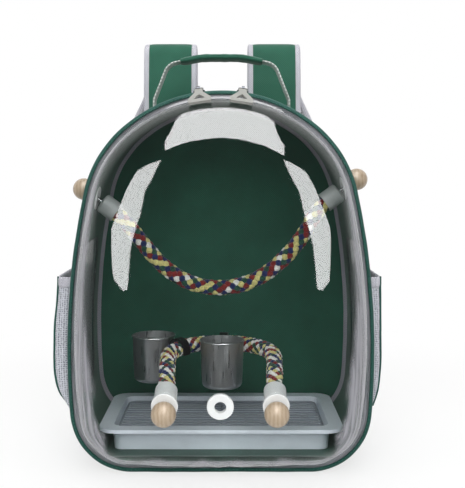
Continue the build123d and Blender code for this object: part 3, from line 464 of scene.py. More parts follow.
WALL_FRONT = -HALF_DEPTH + ZIP_HALF
WALL_COLUMNS = np.linspace(WALL_FRONT, HALF_DEPTH, 46)
wall_profile = [(0, y) for y in WALL_COLUMNS] + [(WALL_T, y) for y in WALL_COLUMNS[::-1]]
wall_skin = around("wall_cloth", wall_profile, [POLYESTER], relief=wall_relief)
# both layers are cut out at the windows; the windows' tape covers the cut edge
cloth = bmesh.new()
cloth.from_mesh(wall_skin.data)
middles = [(face, face.calc_center_median()) for face in cloth.faces]
cut = [face for face, at in middles if abs(at.x) > BAG_WIDTH / 4 and in_window(at.y, at.z)]
bmesh.ops.delete(cloth, geom=cut, context="FACES")
cloth.to_mesh(wall_skin.data)
cloth.free()
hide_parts("bottom_panel", "side_panel_left", "side_panel_right", "crown_panel")
belongs("bag", "shell_fabric", wall_skin)

# ---- seams of the side wall ----
# Where two panels of the wall meet, a folded strip of grosgrain tape covers the seam and is held by a
# row of stitches along each edge.
SEAM_W = 12 * MM
SEAM_T = 0.9 * MM
STITCH_PITCH = 4.2 * MM
STITCH_L = 2.9 * MM
STITCH_R = 0.36 * MM


def polyester_thread(name, code):
    """Bonded sewing thread: smooth, slightly glossy."""
    made, tree, shader = new_material(name)
    set_node(tree, shader, {"Base Color": hex_colour(code), "Roughness": 0.45, "Sheen Weight": 0.1})
    return made


# thread stands out from the tape by the small highlight on each stitch
GREEN_THREAD = polyester_thread("thread_green", "1c5a49")
GREY_THREAD = polyester_thread("thread_grey", "b9bdb8")


def stitches(name, lines, material, pitch=STITCH_PITCH, length=STITCH_L):
    """Rows of short raised stitches along lines, each a list of points a few millimetres apart."""
    vertices, faces = [], []
    for line in lines:
        line = np.array(line, float)
        along = lengths_along(line)
        for k in range(int(along[-1] / pitch)):
            at = at_lengths(k * pitch + length * np.array((0, 0.5, 1)), along, line)
            way = at[2] - at[0]
            side = np.cross(way, (0.31, 0.45, 0.83))
            side /= np.linalg.norm(side)
            up = np.cross(way / np.linalg.norm(way), side)
            faces += grid_faces(3, 6, wrap_columns=True, start=len(vertices), caps=True)
            for point, share in zip(at, (0.35, 1.0, 0.35)):
                vertices += [point + (side * a + up * b) * STITCH_R * share for a, b in circle(6)]
    return mesh_piece(name, vertices, faces, [material])


def rim_index(z, side):
    """Index of the outline sample nearest that height on one side."""
    gap = np.abs(RIM[:, 1] - z) + np.where(RIM[:, 0] * side > BAG_WIDTH / 6, 0, 1)
    return int(np.argmin(gap))


def wall_height(i, offset):
    """Point (x, z) at offset metres along the outline from sample i."""
    along = (RIM_ALONG[i] + offset) % RIM_LENGTH
    closed = np.append(RIM_ALONG, RIM_LENGTH)
    xs, zs = np.append(RIM[:, 0], RIM[0, 0]), np.append(RIM[:, 1], RIM[0, 1])
    return np.interp(along, closed, xs), np.interp(along, closed, zs)


def seam_tape(name, i):
    """Tape across the wall's depth at outline sample i, with its two rows of stitches."""
    profile = [(-SEAM_W / 2, 0), (-SEAM_W / 2 + SEAM_T, SEAM_T), (0, SEAM_T * 1.2),
               (SEAM_W / 2 - SEAM_T, SEAM_T), (SEAM_W / 2, 0)]
    ys = np.linspace(WALL_FRONT + 1 * MM, HALF_DEPTH - 1 * MM, 60)

    def off_wall(y, offset, lift):
        x, z = wall_height(i, offset)
        out = RIM_OUT[i] * (lift + wall_relief(RIM_ALONG[i] + offset, y, 0))
        return x + out[0], y, z + out[1]

    vertices = [off_wall(y, offset, lift + 0.15 * MM) for y in ys for offset, lift in profile]
    uvs = [(y, offset) for y in ys for offset, lift in profile]
    tape = mesh_piece(name, vertices, grid_faces(len(ys), len(profile)), [BINDING_TAPE], uvs=uvs)
    tape.modifiers.new("thickness", "SOLIDIFY").thickness = 0.8 * MM
    lines = [[off_wall(y, offset, SEAM_T * 1.1 + 0.3 * MM) for y in ys]
             for offset in (-SEAM_W / 2 + 1.8 * MM, SEAM_W / 2 - 1.8 * MM)]
    belongs("bag", "binding_tape", tape, stitches(f"{name}_stitches", lines, GREEN_THREAD))


for side_name, side in (("left", -1), ("right", 1)):
    for place, height in (("shoulder", SIDE_SEAM_Z), ("base", BASE_SEAM_Z)):
        seam_tape(f"seam_{place}_{side_name}", rim_index(height, side))

# ---- mesh windows ----
# Each side has a window of knitted polyester mesh for air. It is sewn in from behind, and its edge is
# covered by a folded tape.
MESH_INSET = 1.5 * MM
MESH_LAP = 5 * MM
MESH_SAG = 1.1 * MM
MESH_HOLE = 2.6 * MM


def knitted_mesh(name, code, dark, pitch, open_share):
    """Warp-knitted mesh: rows of small round holes between soft yarns, darkened in the holes with painted shade;
    open_share of it shows through.
    """
    made, tree, shader = new_material(name)
    place = add_node(tree, "TexCoord", {}).outputs["UV"]
    scaled = add_node(tree, "Mapping", {"Vector": place, "Scale": (1 / pitch, 1.4 / pitch, 1)}).outputs[0]
    cells = add_node(tree, "TexVoronoi", {"Vector": scaled, "Scale": 1.0, "Randomness": 0.25})
    yarn = add_node(tree, "MapRange", {0: cells.outputs["Distance"], "From Min": 0.22,
                                       "From Max": 0.5}).outputs[0]
    raised = add_node(tree, "Bump", {"Height": yarn, "Distance": 0.4 * MM}).outputs[0]
    held = add_node(tree, "MapRange", {0: yarn, "From Min": 0.05, "From Max": 0.25, "To Min": 1 - open_share})
    # painted shade: the colour runs to dark in the holes
    set_node(tree, shader, {"Base Color": shade(tree, yarn, hex_colour(dark), hex_colour(code), 0.0, 0.8),
                            "Roughness": 0.85, "Specular IOR Level": 0.25, "Sheen Weight": 0.2,
                            "Alpha": held.outputs[0] if open_share else 1.0, "Normal": raised})
    return made


# Knitted mesh is a soft dark veil: the holes let the inside show through, and painted shade darkens them. The real
# ones are 1.2 mm apart; drawn at 2.6 mm so that they show.
WINDOW_MESH = knitted_mesh("knitted_mesh_window", "5e6b68", "1c2523", MESH_HOLE, 0.7)


def rounded_rectangle(half_w, half_h, corner, steps=8):
    """Points round a rounded rectangle about the origin."""
    points = []
    for k, (across, up) in enumerate(((1, 1), (-1, 1), (-1, -1), (1, -1))):
        for j in range(steps + 1):
            angle = pi / 2 * (k + j / steps)
            points.append((across * (half_w - corner) + corner * cos(angle),
                           up * (half_h - corner) + corner * sin(angle)))
    return points


def resampled(points, count):
    """A closed line of points as count evenly spaced ones."""
    line = np.array([*points, points[0]], float)
    along = lengths_along(line)
    return at_lengths(np.linspace(0, along[-1], count, endpoint=False), along, line)


def wall_x(z):
    """Half width of the bag at a height above the base corners."""
    half = len(RIM) // 2
    return float(np.interp(z, RIM[:half + 1, 1], RIM[:half + 1, 0]))


def wall_lean(z):
    """Outward direction (x, z) of the right wall at that height."""
    half = len(RIM) // 2
    return np.array([np.interp(z, RIM[:half + 1, 1], RIM_OUT[:half + 1, k]) for k in (0, 1)])


WINDOW_MIDDLE = (WINDOW_LOW + WINDOW_TOP) / 2
WINDOW_HALF = (WINDOW_TOP - WINDOW_LOW) / 2
# (away from the opening, off the wall) in millimetres
WINDOW_TAPE = [(-2.2, -2.4), (-2.4, 0.2), (-1.2, 1.6), (2.5, 1.9), (6, 1.5), (6.6, 0.1)]
zs = np.linspace(WINDOW_LOW - MESH_LAP, WINDOW_TOP + MESH_LAP, 48)
ys = np.linspace(-WINDOW_Y - MESH_LAP, WINDOW_Y + MESH_LAP, 32)
for side_name, side in (("left", -1), ("right", 1)):
    vertices, uvs = [], []
    for z in zs:
        for y in ys:
            slack_y = cos(pi / 2 * min(abs(y) / WINDOW_Y, 1))
            slack_z = cos(pi / 2 * min(abs(z - WINDOW_MIDDLE) / WINDOW_HALF, 1))
            sag = MESH_SAG * slack_y * slack_z * (0.5 + 0.5 * ripple(z, y, 70 * MM, 5 + side))
            x = wall_x(z) - MESH_INSET + sag
            vertices.append((side * x, y, z))
            uvs.append((y, z))
    net = mesh_piece(f"window_net_{side_name}", vertices, grid_faces(len(zs), len(ys)), [WINDOW_MESH], uvs=uvs)
    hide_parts(f"side_mesh_{side_name}")
    belongs("bag", "air_mesh", net)
    edge = resampled(rounded_rectangle(WINDOW_Y, WINDOW_HALF, WINDOW_R), 150)
    away = resampled(rounded_rectangle(WINDOW_Y + 1 * MM, WINDOW_HALF + 1 * MM, WINDOW_R + 1 * MM), 150) - edge
    away /= np.linalg.norm(away, axis=1)[:, None]
    vertices, uvs = [], []
    for k, (point, out) in enumerate(zip(edge, away)):
        for across, lift in WINDOW_TAPE:
            y, z = point + out * across * MM
            z += WINDOW_MIDDLE
            lean = wall_lean(z) * lift * MM
            swell = wall_lean(z)[0] * wall_relief(RIM_ALONG[rim_index(z, 1)], y, 0)
            vertices.append((side * (wall_x(z) + lean[0] + swell), y, z + lean[1]))
            uvs.append((k * 3.6 * MM, across * MM))
    tape = mesh_piece(f"window_tape_{side_name}", vertices,
                      grid_faces(len(edge), len(WINDOW_TAPE), wrap_rows=True), [BINDING_TAPE], uvs=uvs)
    row = edge + away * 4.4 * MM
    line = [(side * (wall_x(z + WINDOW_MIDDLE) + 2.9 * MM), y, z + WINDOW_MIDDLE) for y, z in [*row, row[0]]]
    belongs("bag", "binding_tape", tape, stitches(f"window_stitches_{side_name}", [line], GREEN_THREAD))

# ---- back panel ----
# The back is a stiff foam board between two layers of the same cloth, bound all round. Its inner face
# is plain and slightly bowed between the bindings.
BACK_T = 5 * MM
BINDING_W = 4 * MM
RINGS = 26


def disc_rings(inset, rings):
    """Rings of points (x, z) that shrink from the outline, moved in by inset, to its middle."""
    middle = np.array([0, BAG_HEIGHT * 0.48])
    border = RIM - RIM_OUT * inset
    shares = np.linspace(0, 1, rings)[:-1]
    return [middle + (border - middle) * (1 - share) for share in shares] + [np.array([middle])]


def disc_mesh(name, rings, depth, materials):
    """Sheet over rings of points that faces the viewer, with y = depth(x, z)."""
    uvs = [(x, z) for ring in rings for x, z in ring]
    vertices = [(x, depth(x, z), z) for x, z in uvs]
    count = len(rings[0])
    faces = grid_faces(len(rings) - 1, count, wrap_columns=True)
    last = (len(rings) - 2) * count
    faces += [(last + j, len(vertices) - 1, last + (j + 1) % count) for j in range(count)]
    return mesh_piece(name, vertices, [f[::-1] for f in faces], materials, uvs=uvs)


def rim_distance(x, z):
    """Distance from a point inside the outline to the outline."""
    return float(np.sqrt(((RIM - (x, z)) ** 2).sum(axis=1).min()))


def back_front(x, z):
    """Inner face of the back board, pillowed by a millimetre or so."""
    edge = min(rim_distance(x, z) / (40 * MM), 1)
    return HALF_DEPTH + 0.2 * MM + (0.8 * MM * edge) * (0.5 + 0.5 * ripple(x, z, 260 * MM, 2))


back_rings = disc_rings(BINDING_W * 0.6, RINGS)
back_board = disc_mesh("back_board", back_rings, back_front, [POLYESTER])
board = back_board.modifiers.new("thickness", "SOLIDIFY")
board.thickness = BACK_T - 1 * MM
board.offset = -1
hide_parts("back_panel")
belongs("bag", "shell_fabric", back_board)

# ---- bindings of the back seam and of the door ----
# Folded grosgrain tape closes the raw edges: one round the back seam, one round the clear door's
# flange. It is a little thicker where it turns over the edge, and one row of stitches holds it.
DOOR_BACK = -HALF_DEPTH - ZIP_HALF
DOOR_TAPE = 5 * MM


def tape_relief(along, y, inset):
    """Slight unevenness of hand-guided tape."""
    return 0.25 * MM * ripple(along, 0.0, 60 * MM, 7)


def binding_profile(y_near, y_far, width, bulge):
    """Rounded section of a folded tape, from the inner edge over the outside and back."""
    middle, half = (y_near + y_far) / 2, (y_far - y_near) / 2
    points = []
    for k in range(17):
        angle = -pi / 2 + pi * k / 16
        points.append((half * 0.9 - cos(angle) * (half * 0.9 + bulge), middle + sin(angle) * (half + 0.2 * MM)))
    return [(width, y_near - 0.15 * MM), *points, (width, y_far + 0.15 * MM)]


for name, node_name, body, y_near, y_far in (
        ("back_tape", "back_binding", "bag", HALF_DEPTH, HALF_DEPTH + BACK_T),
        ("door_tape", "door_binding", "door", DOOR_BACK - DOOR_TAPE, DOOR_BACK)):
    tape = around(name, binding_profile(y_near, y_far, BINDING_W, 0.5 * MM), [BINDING_TAPE], relief=tape_relief)
    stitch_y = y_far + 0.45 * MM if body == "bag" else y_near - 0.45 * MM
    row = RIM - RIM_OUT * 2.9 * MM
    line = [(x, stitch_y, z) for x, z in [*row, row[0]]]
    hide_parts(node_name)
    belongs(body, "binding_tape", tape, stitches(f"{name}_stitches", [line], GREEN_THREAD))

# A light seam tape covers the raw edge inside the bag, and reads as a thin pale line round the back.
INNER_TAPE = woven("seam_tape_grey", "a9a8b0", "83828b", 1.6 * MM, 0.2 * MM, 0.7)
inner_profile = [(WALL_T + lift * MM, HALF_DEPTH - back * MM)
                 for lift, back in ((0.1, 6), (0.9, 5.8), (1.6, 2), (4, 1.1), (4.2, 0.1))]
inner_tape = around("back_tape_inside", inner_profile, [INNER_TAPE], closed=False, relief=tape_relief)
belongs("bag", "binding_tape", inner_tape)

# ---- zip ----
# A coil zip: two woven tapes, each with a row of moulded nylon teeth, sewn to the wall and to the door.
# It runs from one bottom corner over the crown to the other.
CHAIN_INSET = 0.9 * MM
CHAIN_T = 3 * MM
ZIP_END_Z = 22 * MM
# the real coil has a tooth every 1.4 mm; drawn every 2.6 mm so that the teeth show
TOOTH_PITCH = 2.6 * MM
TOOTH_L = 1.5 * MM
# (towards the tape in millimetres, half a tooth's width in shares of its length)
TOOTH_REACHES = [(0.1, 0.34), (0.7, 0.5), (2.2, 0.5)]
TAPE_INSET = 1.7 * MM
# moulded nylon is nearly black, with a soft shine on each tooth
NYLON_BLACK, nylon_tree, nylon_shader = new_material("nylon_coil_black")
set_node(nylon_tree, nylon_shader, {"Base Color": hex_colour("15201d"), "Roughness": 0.4})

# the outline from one end of the zip over the crown to the other, and the rest along the base
zip_span = [i for i in range(len(RIM)) if RIM[i][1] >= ZIP_END_Z]
base_span = [i for i in range(len(RIM)) if RIM[i][1] < ZIP_END_Z + 1 * MM]
base_span = [i for i in base_span if i > len(RIM) // 2] + [i for i in base_span if i < len(RIM) // 2]


def zip_half(name, node_name, body, way, shift):
    """Teeth and tape of one half of the zip; way is -1 towards the door and 1 towards the bag."""
    first, last = RIM_ALONG[zip_span[0]], RIM_ALONG[zip_span[-1]]
    insets = [(CHAIN_INSET, 0.6), (CHAIN_INSET + 0.8 * MM, 1), (CHAIN_INSET + CHAIN_T - 0.8 * MM, 1),
              (CHAIN_INSET + CHAIN_T, 0.6)]
    loop = (0, 2, 4, 6, 7, 5, 3, 1)
    vertices, faces = [], []
    for k in range(int((last - first) / TOOTH_PITCH) - 1):
        at = first + (k + shift) * TOOTH_PITCH
        place = at_lengths(at, RIM_ALONG, RIM)
        out = at_lengths(at, RIM_ALONG, RIM_OUT)
        along = np.array([-out[1], out[0]])
        start = len(vertices)
        for reach, half in TOOTH_REACHES:
            for inset, share in insets:
                for turn in (-1, 1):
                    x, z = place - out * inset + along * turn * TOOTH_L * half * share
                    vertices.append((x, -HALF_DEPTH + way * reach * MM, z))
        for row in (start, start + 8):
            faces += [[row + a, row + b, row + 8 + b, row + 8 + a] for a, b in zip(loop, loop[1:] + loop[:1])]
        faces += [[start + j for j in loop], [start + 16 + j for j in loop[::-1]]]
    teeth = mesh_piece(f"{name}_teeth", vertices, faces, [NYLON_BLACK])
    y_near, y_far = sorted((-HALF_DEPTH + way * 1.6 * MM, -HALF_DEPTH + way * ZIP_HALF))
    inner = TAPE_INSET + 1.1 * MM
    tape = around(f"{name}_tape", [(TAPE_INSET, y_near), (TAPE_INSET, y_far), (inner, y_far), (inner, y_near)],
                  [BINDING_TAPE], span=zip_span)
    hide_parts(node_name)
    belongs(body, "zip_tape", teeth, tape)


zip_half("zip_bag", "zip_chain_bag", "bag", 1, 0.25)
zip_half("zip_door", "zip_chain_door", "door", -1, 0.75)

# ---- fabric hinge of the door ----
# Between the ends of the zip a strip of the wall's cloth joins the door to the base; on the real bag it bends as
# the door swings down, and here it is drawn as it lies with the door shut. Its edges are sewn in between the two
# layers of the wall and of the door's tape.
HINGE_T = 0.9 * MM
HINGE_LAP = 4.2 * MM
hinge_outer = [(1.6 * MM, DOOR_BACK - HINGE_LAP), (1.5 * MM, DOOR_BACK - 0.4 * MM),
               (0.5 * MM, DOOR_BACK + 0.4 * MM), (0.3 * MM, DOOR_BACK + 2 * MM), (0.3 * MM, WALL_FRONT - 2 * MM),
               (0.5 * MM, WALL_FRONT - 0.4 * MM), (1.2 * MM, WALL_FRONT + 0.4 * MM),
               (1.3 * MM, WALL_FRONT + HINGE_LAP)]
hinge_profile = hinge_outer + [(inset + HINGE_T, y) for inset, y in hinge_outer[::-1]]
hinge_cloth = around("hinge_cloth", hinge_profile, [POLYESTER], span=base_span)
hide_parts("hinge_flap")
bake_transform(hinge_cloth)

# ---- clear dome ----
# The front of the bag is one vacuum-formed sheet of clear PVC, 1.5 mm thick: a flat flange in the
# binding, an upright wall, a round edge and a slightly bowed face. Its lower wall has soft wrinkles.
DOME_DEPTH = 74 * MM
DOME_INSET = 10 * MM
DOME_T = 1.5 * MM
DOME_FACE_R = 800 * MM
DOME_FACE_Z = 225 * MM
DOME_EDGE_R = 40 * MM
FLANGE_SEAT = 2 * MM
FLANGE_FRONT = DOOR_BACK - (DOOR_TAPE + DOME_T) / 2
FACE_CENTRE = np.array([0, -HALF_DEPTH - DOME_DEPTH + DOME_FACE_R, DOME_FACE_Z])
LOWER_PERCH_X = 58 * MM
LOWER_PERCH_Z = 87 * MM
GROMMET_NECK_R = 8 * MM
WRINKLE = 0.7 * MM
# painted reflection: the pale glare's strength, and how far it reaches in from the rim at each height
PAINTED_GLARE = 0.72
GLARE_HEIGHTS = [0.0, 0.015, 0.05, 0.1, 0.2, 0.3, 0.36, 0.4, 0.42]
GLARE_WIDTHS = [0.017, 0.019, 0.036, 0.036, 0.025, 0.02, 0.016, 0.013, 0.0115]


def clear_sheet(name):
    """Clear plastic: a weak mirror over a barely tinted view through it, with a pale glare near its edge that is a
    painted reflection.
    """
    made, tree, shader = new_material(name)
    tree.nodes.remove(shader)
    facing = add_node(tree, "LayerWeight", {"Blend": 0.5}).outputs["Facing"]
    grazing = add_node(tree, "Math", {"operation": "POWER", 0: facing, 1: 5.0}).outputs[0]
    mirror = add_node(tree, "MapRange", {0: grazing, "To Min": 0.055, "To Max": 0.85}).outputs[0]
    through = add_node(tree, "BsdfTransparent", {"Color": hex_colour("fcfdfd")}).outputs[0]
    waves = add_node(tree, "Bump", {"Height": grain(tree, 90 * MM, 1.0), "Distance": 0.25 * MM}).outputs[0]
    gloss = add_node(tree, "BsdfGlossy", {"Roughness": 0.03, "Normal": waves}).outputs[0]
    # the painted glare runs in streaks along the rim, some 5 mm apart, as the folds of the stretched sheet do
    place = add_node(tree, "TexCoord", {}).outputs["UV"]
    drawn = add_node(tree, "Mapping", {"Vector": place, "Scale": (1 / (90 * MM), 1 / (5 * MM), 1)}).outputs[0]
    folds = add_node(tree, "TexNoise", {"Vector": drawn, "Scale": 1.0, "Detail": 2.0}).outputs[0]
    streaks = add_node(tree, "MapRange", {0: folds, "From Min": 0.38, "From Max": 0.6, "To Min": 0.3}).outputs[0]
    # painted reflection: where the glare share is high, a pale grey diffuse and translucent sheet is mixed in
    painted_glare = add_node(tree, "Attribute", {"attribute_name": "painted_glare"}).outputs["Fac"]
    glare_share = add_node(tree, "Math", {"operation": "MULTIPLY", 0: painted_glare, 1: streaks}).outputs[0]
    front = add_node(tree, "BsdfDiffuse", {"Color": hex_colour("c4c3ca")}).outputs[0]
    back = add_node(tree, "BsdfTranslucent", {"Color": hex_colour("c4c3ca")}).outputs[0]
    cloud = add_node(tree, "MixShader", {0: 0.4, 1: front, 2: back}).outputs[0]
    body = add_node(tree, "MixShader", {0: glare_share, 1: through, 2: cloud}).outputs[0]
    mixed = add_node(tree, "MixShader", {0: mirror, 1: body, 2: gloss}).outputs[0]
    set_node(tree, tree.nodes["Material Output"], {"Surface": mixed})
    return made


def painted_glare_share(x, z):
    """Share of painted glare, a pale reflection painted on the sheet: a thin band at the crown, wider down the
    sides and widest in the low corners.
    """
    reach = np.interp(z, GLARE_HEIGHTS, GLARE_WIDTHS)
    reach += 0.003 * sin(atan2(z - 0.1, x) * 13) * np.clip((0.13 - z) / 0.08, 0, 1)
    edge = np.clip((reach - rim_distance(x, z)) / (4 * MM), 0, 1)
    return PAINTED_GLARE * edge * edge * (3 - 2 * edge)


def dome_wrinkle(x, z, share):
    """Soft wrinkles of the wall near the lower corners and along the base."""
    low = np.clip((0.15 - z) / 0.1, 0, 1)
    turn = np.arctan2(z - 0.1, x)
    waves = np.sin(turn * 21 + share * 5) * (0.6 + 0.4 * np.sin(turn * 7))
    return WRINKLE * low * sin(pi * min(share, 1)) * waves


def face_depth(x, z, shrink):
    """Depth y of the dome's face at (x, z)."""
    reach = DOME_FACE_R - shrink
    return FACE_CENTRE[1] - np.sqrt(reach ** 2 - x ** 2 - (z - DOME_FACE_Z) ** 2)


def dome_skin(shrink):
    """Rows of points from the flange's edge to the middle of the face."""
    out = np.stack([RIM_OUT[:, 0], np.zeros(len(RIM)), RIM_OUT[:, 1]], axis=1)
    rim = np.stack([RIM[:, 0], np.zeros(len(RIM)), RIM[:, 1]], axis=1)
    flange_y = FLANGE_FRONT + shrink
    rows = []
    for inset in (FLANGE_SEAT, DOME_INSET - 2 * MM):
        row = rim - out * inset
        row[:, 1] = flange_y
        rows.append(row)
    centre = rim - out * (DOME_INSET + DOME_EDGE_R)
    flat = face_depth(centre[:, 0], centre[:, 2], DOME_EDGE_R)
    centre[:, 1] = flat
    ahead = centre - FACE_CENTRE
    ahead /= np.linalg.norm(ahead, axis=1)[:, None]
    for k in range(7):
        row = rim - out * (DOME_INSET + shrink)
        row[:, 1] = flange_y - 1.2 * MM + (flat - flange_y + 1.2 * MM) * k / 6
        rows.append(row + out * dome_wrinkle(row[:, 0], row[:, 2], k / 9)[:, None])
    for k in range(1, 13):
        way = out * cos(pi / 2 * k / 12) + ahead * sin(pi / 2 * k / 12)
        way /= np.linalg.norm(way, axis=1)[:, None]
        row = centre + way * (DOME_EDGE_R - shrink)
        rows.append(row + way * dome_wrinkle(row[:, 0], row[:, 2], (6 + k / 4) / 9)[:, None])
    last = rows[-1]
    for k in range(1, 14):
        row = last * (1 - k / 14)
        row[:, 2] += DOME_FACE_Z * k / 14
        row[:, 1] = face_depth(row[:, 0], row[:, 2], shrink)
        rows.append(row)
    return rows


def drilled(piece, places, radius, depth):
    """Cuts round holes at places, pairs of a point and an axis."""
    for point, axis in places:
        bpy.ops.mesh.primitive_cylinder_add(vertices=48, radius=radius, depth=depth, location=point)
        drill = bpy.context.object
        drill.rotation_euler = Vector(axis).to_track_quat("Z", "Y").to_euler()
        cut = piece.modifiers.new("hole", "BOOLEAN")
        cut.object = drill
        cut.solver = "EXACT"
        bpy.context.view_layer.update()
        whole = bpy.data.meshes.new_from_object(piece.evaluated_get(bpy.context.evaluated_depsgraph_get()))
        piece.modifiers.clear()
        piece.data = whole
        bpy.data.objects.remove(drill)


# Formed PVC sheet shows the inside with hardly any tint, mirrors the lamps in bands along its bends and
# carries a painted reflection near its edge: a pale, streaky glare.
CLEAR_PVC = clear_sheet("pvc_sheet_clear")
outer_rows, inner_rows = dome_skin(0), dome_skin(DOME_T)
dome_rows = outer_rows[::-1] + inner_rows
dome_points = np.concatenate(dome_rows)
dome_faces = grid_faces(len(dome_rows), len(RIM), wrap_columns=True)
poles = [(0, float(face_depth(0, DOME_FACE_Z, shrink)), DOME_FACE_Z) for shrink in (0, DOME_T)]
end = (len(dome_rows) - 1) * len(RIM)
for j in range(len(RIM)):
    k = (j + 1) % len(RIM)
    dome_faces.append((len(dome_points), j, k))
    dome_faces.append((len(dome_points) + 1, end + k, end + j))
row_lengths = np.linalg.norm(np.diff(np.array(dome_rows), axis=0), axis=2).max(axis=1)
row_places = np.concatenate([[0], np.cumsum(row_lengths)])
dome_uvs = [(along, place) for place in row_places for along in RIM_ALONG]
dome_uvs += [(0, row_places[0]), (0, row_places[-1])]
dome = mesh_piece("dome_shell", [*dome_points, *poles], dome_faces, [CLEAR_PVC], uvs=dome_uvs)
ring_places = []
for x in (-LOWER_PERCH_X, 0, LOWER_PERCH_X):
    point = Vector((x, float(face_depth(x, LOWER_PERCH_Z, DOME_T / 2)), LOWER_PERCH_Z))
    ring_places.append((point, point - Vector(FACE_CENTRE)))
drilled(dome, ring_places, GROMMET_NECK_R, 8 * MM)
# painted reflection: the pale glare's share is stored on the sheet's points
painted_glare = dome.data.attributes.new("painted_glare", "FLOAT", "POINT")
painted_glare.data.foreach_set("value", [float(painted_glare_share(v.co.x, v.co.z)) for v in dome.data.vertices])
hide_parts("clear_dome")
belongs("door", "clear_sheet", dome)

# ---- perch fittings: caps, rings and screws ----
# Injection-moulded polypropylene caps grip the rope, snap-in rings line the holes, and a plated screw
# runs through each of them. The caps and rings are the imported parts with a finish.


def moulding(name, code, roughness, cloud=0.06):
    """Moulded plastic with a fine spark-eroded skin and very slight unevenness of shade."""
    made, tree, shader = new_material(name)
    light = hex_colour(code)
    clouded = shade(tree, grain(tree, 14 * MM), dimmed(light, 1 - 2 * cloud), light)
    raised = add_node(tree, "Bump", {"Height": grain(tree, 0.9 * MM, 1.0), "Distance": 0.03 * MM}).outputs[0]
    set_node(tree, shader, {"Base Color": clouded, "Roughness": roughness, "Specular IOR Level": 0.45,
                            "Normal": raised})
    return made


MARK = 2 * MM


def metal(name, code, roughness, streaks):
    """Bare or plated metal; streaks is the stretch of its fine brushing along Z."""
    made, tree, shader = new_material(name)
    place = add_node(tree, "TexCoord", {}).outputs["Object"]
    # real polishing marks are finer than 0.1 mm; drawn 2 mm apart so that they break up the shine
    scaled = add_node(tree, "Mapping", {"Vector": place, "Scale": (1 / MARK, 1 / MARK, 1 / (MARK * streaks))})
    marks = add_node(tree, "TexNoise", {"Vector": scaled.outputs[0], "Scale": 1.0, "Detail": 2.0}).outputs[0]
    rough = add_node(tree, "MapRange", {0: marks, "From Min": 0.3, "From Max": 0.7,
                                        "To Min": roughness * 0.7, "To Max": roughness * 1.4}).outputs[0]
    raised = add_node(tree, "Bump", {"Height": marks, "Distance": 0.02 * MM}).outputs[0]
    set_node(tree, shader, {"Base Color": hex_colour(code), "Metallic": 1.0, "Roughness": rough, "Normal": raised})
    return made


def finish_nodes(material, *names):
    """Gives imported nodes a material."""
    for name in names:
        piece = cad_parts[name]
        piece.data.materials.clear()
        piece.data.materials.append(material)


# Moulded polypropylene is satin and slightly waxy, acetal smoother and black, soft PVC duller. Zinc plate
# is a bright cool metal.
GREY_PLASTIC = moulding("polypropylene_grey", "c3c7c6", 0.38)
WHITE_PLASTIC = moulding("polypropylene_white", "e4e6e6", 0.38, 0.03)
BLACK_PLASTIC = moulding("acetal_black", "161718", 0.32)
TAB_PLASTIC = moulding("soft_pvc_mid_grey", "94948f", 0.45, 0.04)
SCREW_STEEL = metal("steel_zinc_plated", "b4b7b9", 0.25, 1)
finish_nodes(GREY_PLASTIC, "ferrule_upper_left", "ferrule_upper_right")
finish_nodes(WHITE_PLASTIC, "ferrule_lower_left", "ferrule_lower_right", "dome_grommets", "wall_grommets")
finish_nodes(SCREW_STEEL, "studs_upper", "studs_lower")

# ---- wooden balls ----
# Turned beech balls with a clear satin lacquer, screwed on outside the bag as nuts for the perches.
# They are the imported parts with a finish.
PORE_W = 1.11 * MM
PORE_L = 16.7 * MM
GROWTH = 4.19 * MM


def turned_wood(name, light, dark):
    """Pale close-grained wood: long fine pores across faint growth bands, under satin lacquer."""
    made, tree, shader = new_material(name)
    place = add_node(tree, "TexCoord", {}).outputs["Object"]
    # real pores are 0.3 mm apart and 5 mm long; drawn coarser so that they show
    drawn = add_node(tree, "Mapping", {"Vector": place, "Scale": (1 / PORE_W, 1 / PORE_W, 1 / PORE_L)}).outputs[0]
    pores = add_node(tree, "TexNoise", {"Vector": drawn, "Scale": 1.0, "Detail": 2.0}).outputs[0]
    # growth bands; at scale 1 a wave along X repeats every 2 pi / 20 metres
    bands = add_node(tree, "TexWave", {"bands_direction": "X", "Vector": place, "Scale": 2 * pi / (20 * GROWTH),
                                       "Distortion": 2.5, "Detail": 2.0}).outputs["Fac"]
    both = add_node(tree, "Math", {"operation": "MULTIPLY_ADD", 0: bands, 1: 0.45, 2: pores}).outputs[0]
    raised = add_node(tree, "Bump", {"Height": pores, "Distance": 0.05 * MM}).outputs[0]
    set_node(tree, shader, {"Base Color": shade(tree, both, hex_colour(dark), hex_colour(light), 0.4, 0.85),
                            "Roughness": 0.38, "Coat Weight": 0.25, "Coat Roughness": 0.2, "Normal": raised})
    return made


finish_nodes(turned_wood("beech_lacquered", "b09e88", "9e8a72"),
             "ball_upper_left", "ball_upper_right", "ball_lower_left", "ball_lower_right")

# ---- feeder cups ----
# Deep-drawn stainless cups with a rolled lip and fine polishing marks up their sides, each riveted to a
# moulded acetal hook that hangs over the rope.
# Drawn and polished stainless steel: a broken mirror, with faint upright streaks.
CUP_STEEL = metal("stainless_drawn", "c2c3c4", 0.36, 14)
finish_nodes(CUP_STEEL, "cup_left", "cup_right")
finish_nodes(SCREW_STEEL, "cup_rivets_left", "cup_rivets_right")
finish_nodes(BLACK_PLASTIC, "cup_hook_left", "cup_hook_right")

# ---- tray and grate ----
# A drafted, injection-moulded polypropylene tray in pale blue with a wide lip, and in it a grate of
# welded steel wire with a grey epoxy coat.
# The tray is satin and almost white with a cool tint, the coated wire a plain mid grey.
TRAY_PLASTIC = moulding("polypropylene_pale_blue", "e9f0f8", 0.32, 0.03)
COATED_WIRE = moulding("epoxy_coated_wire", "8d939b", 0.4, 0.03)
finish_nodes(TRAY_PLASTIC, "tray")
finish_nodes(COATED_WIRE, "tray_grate")

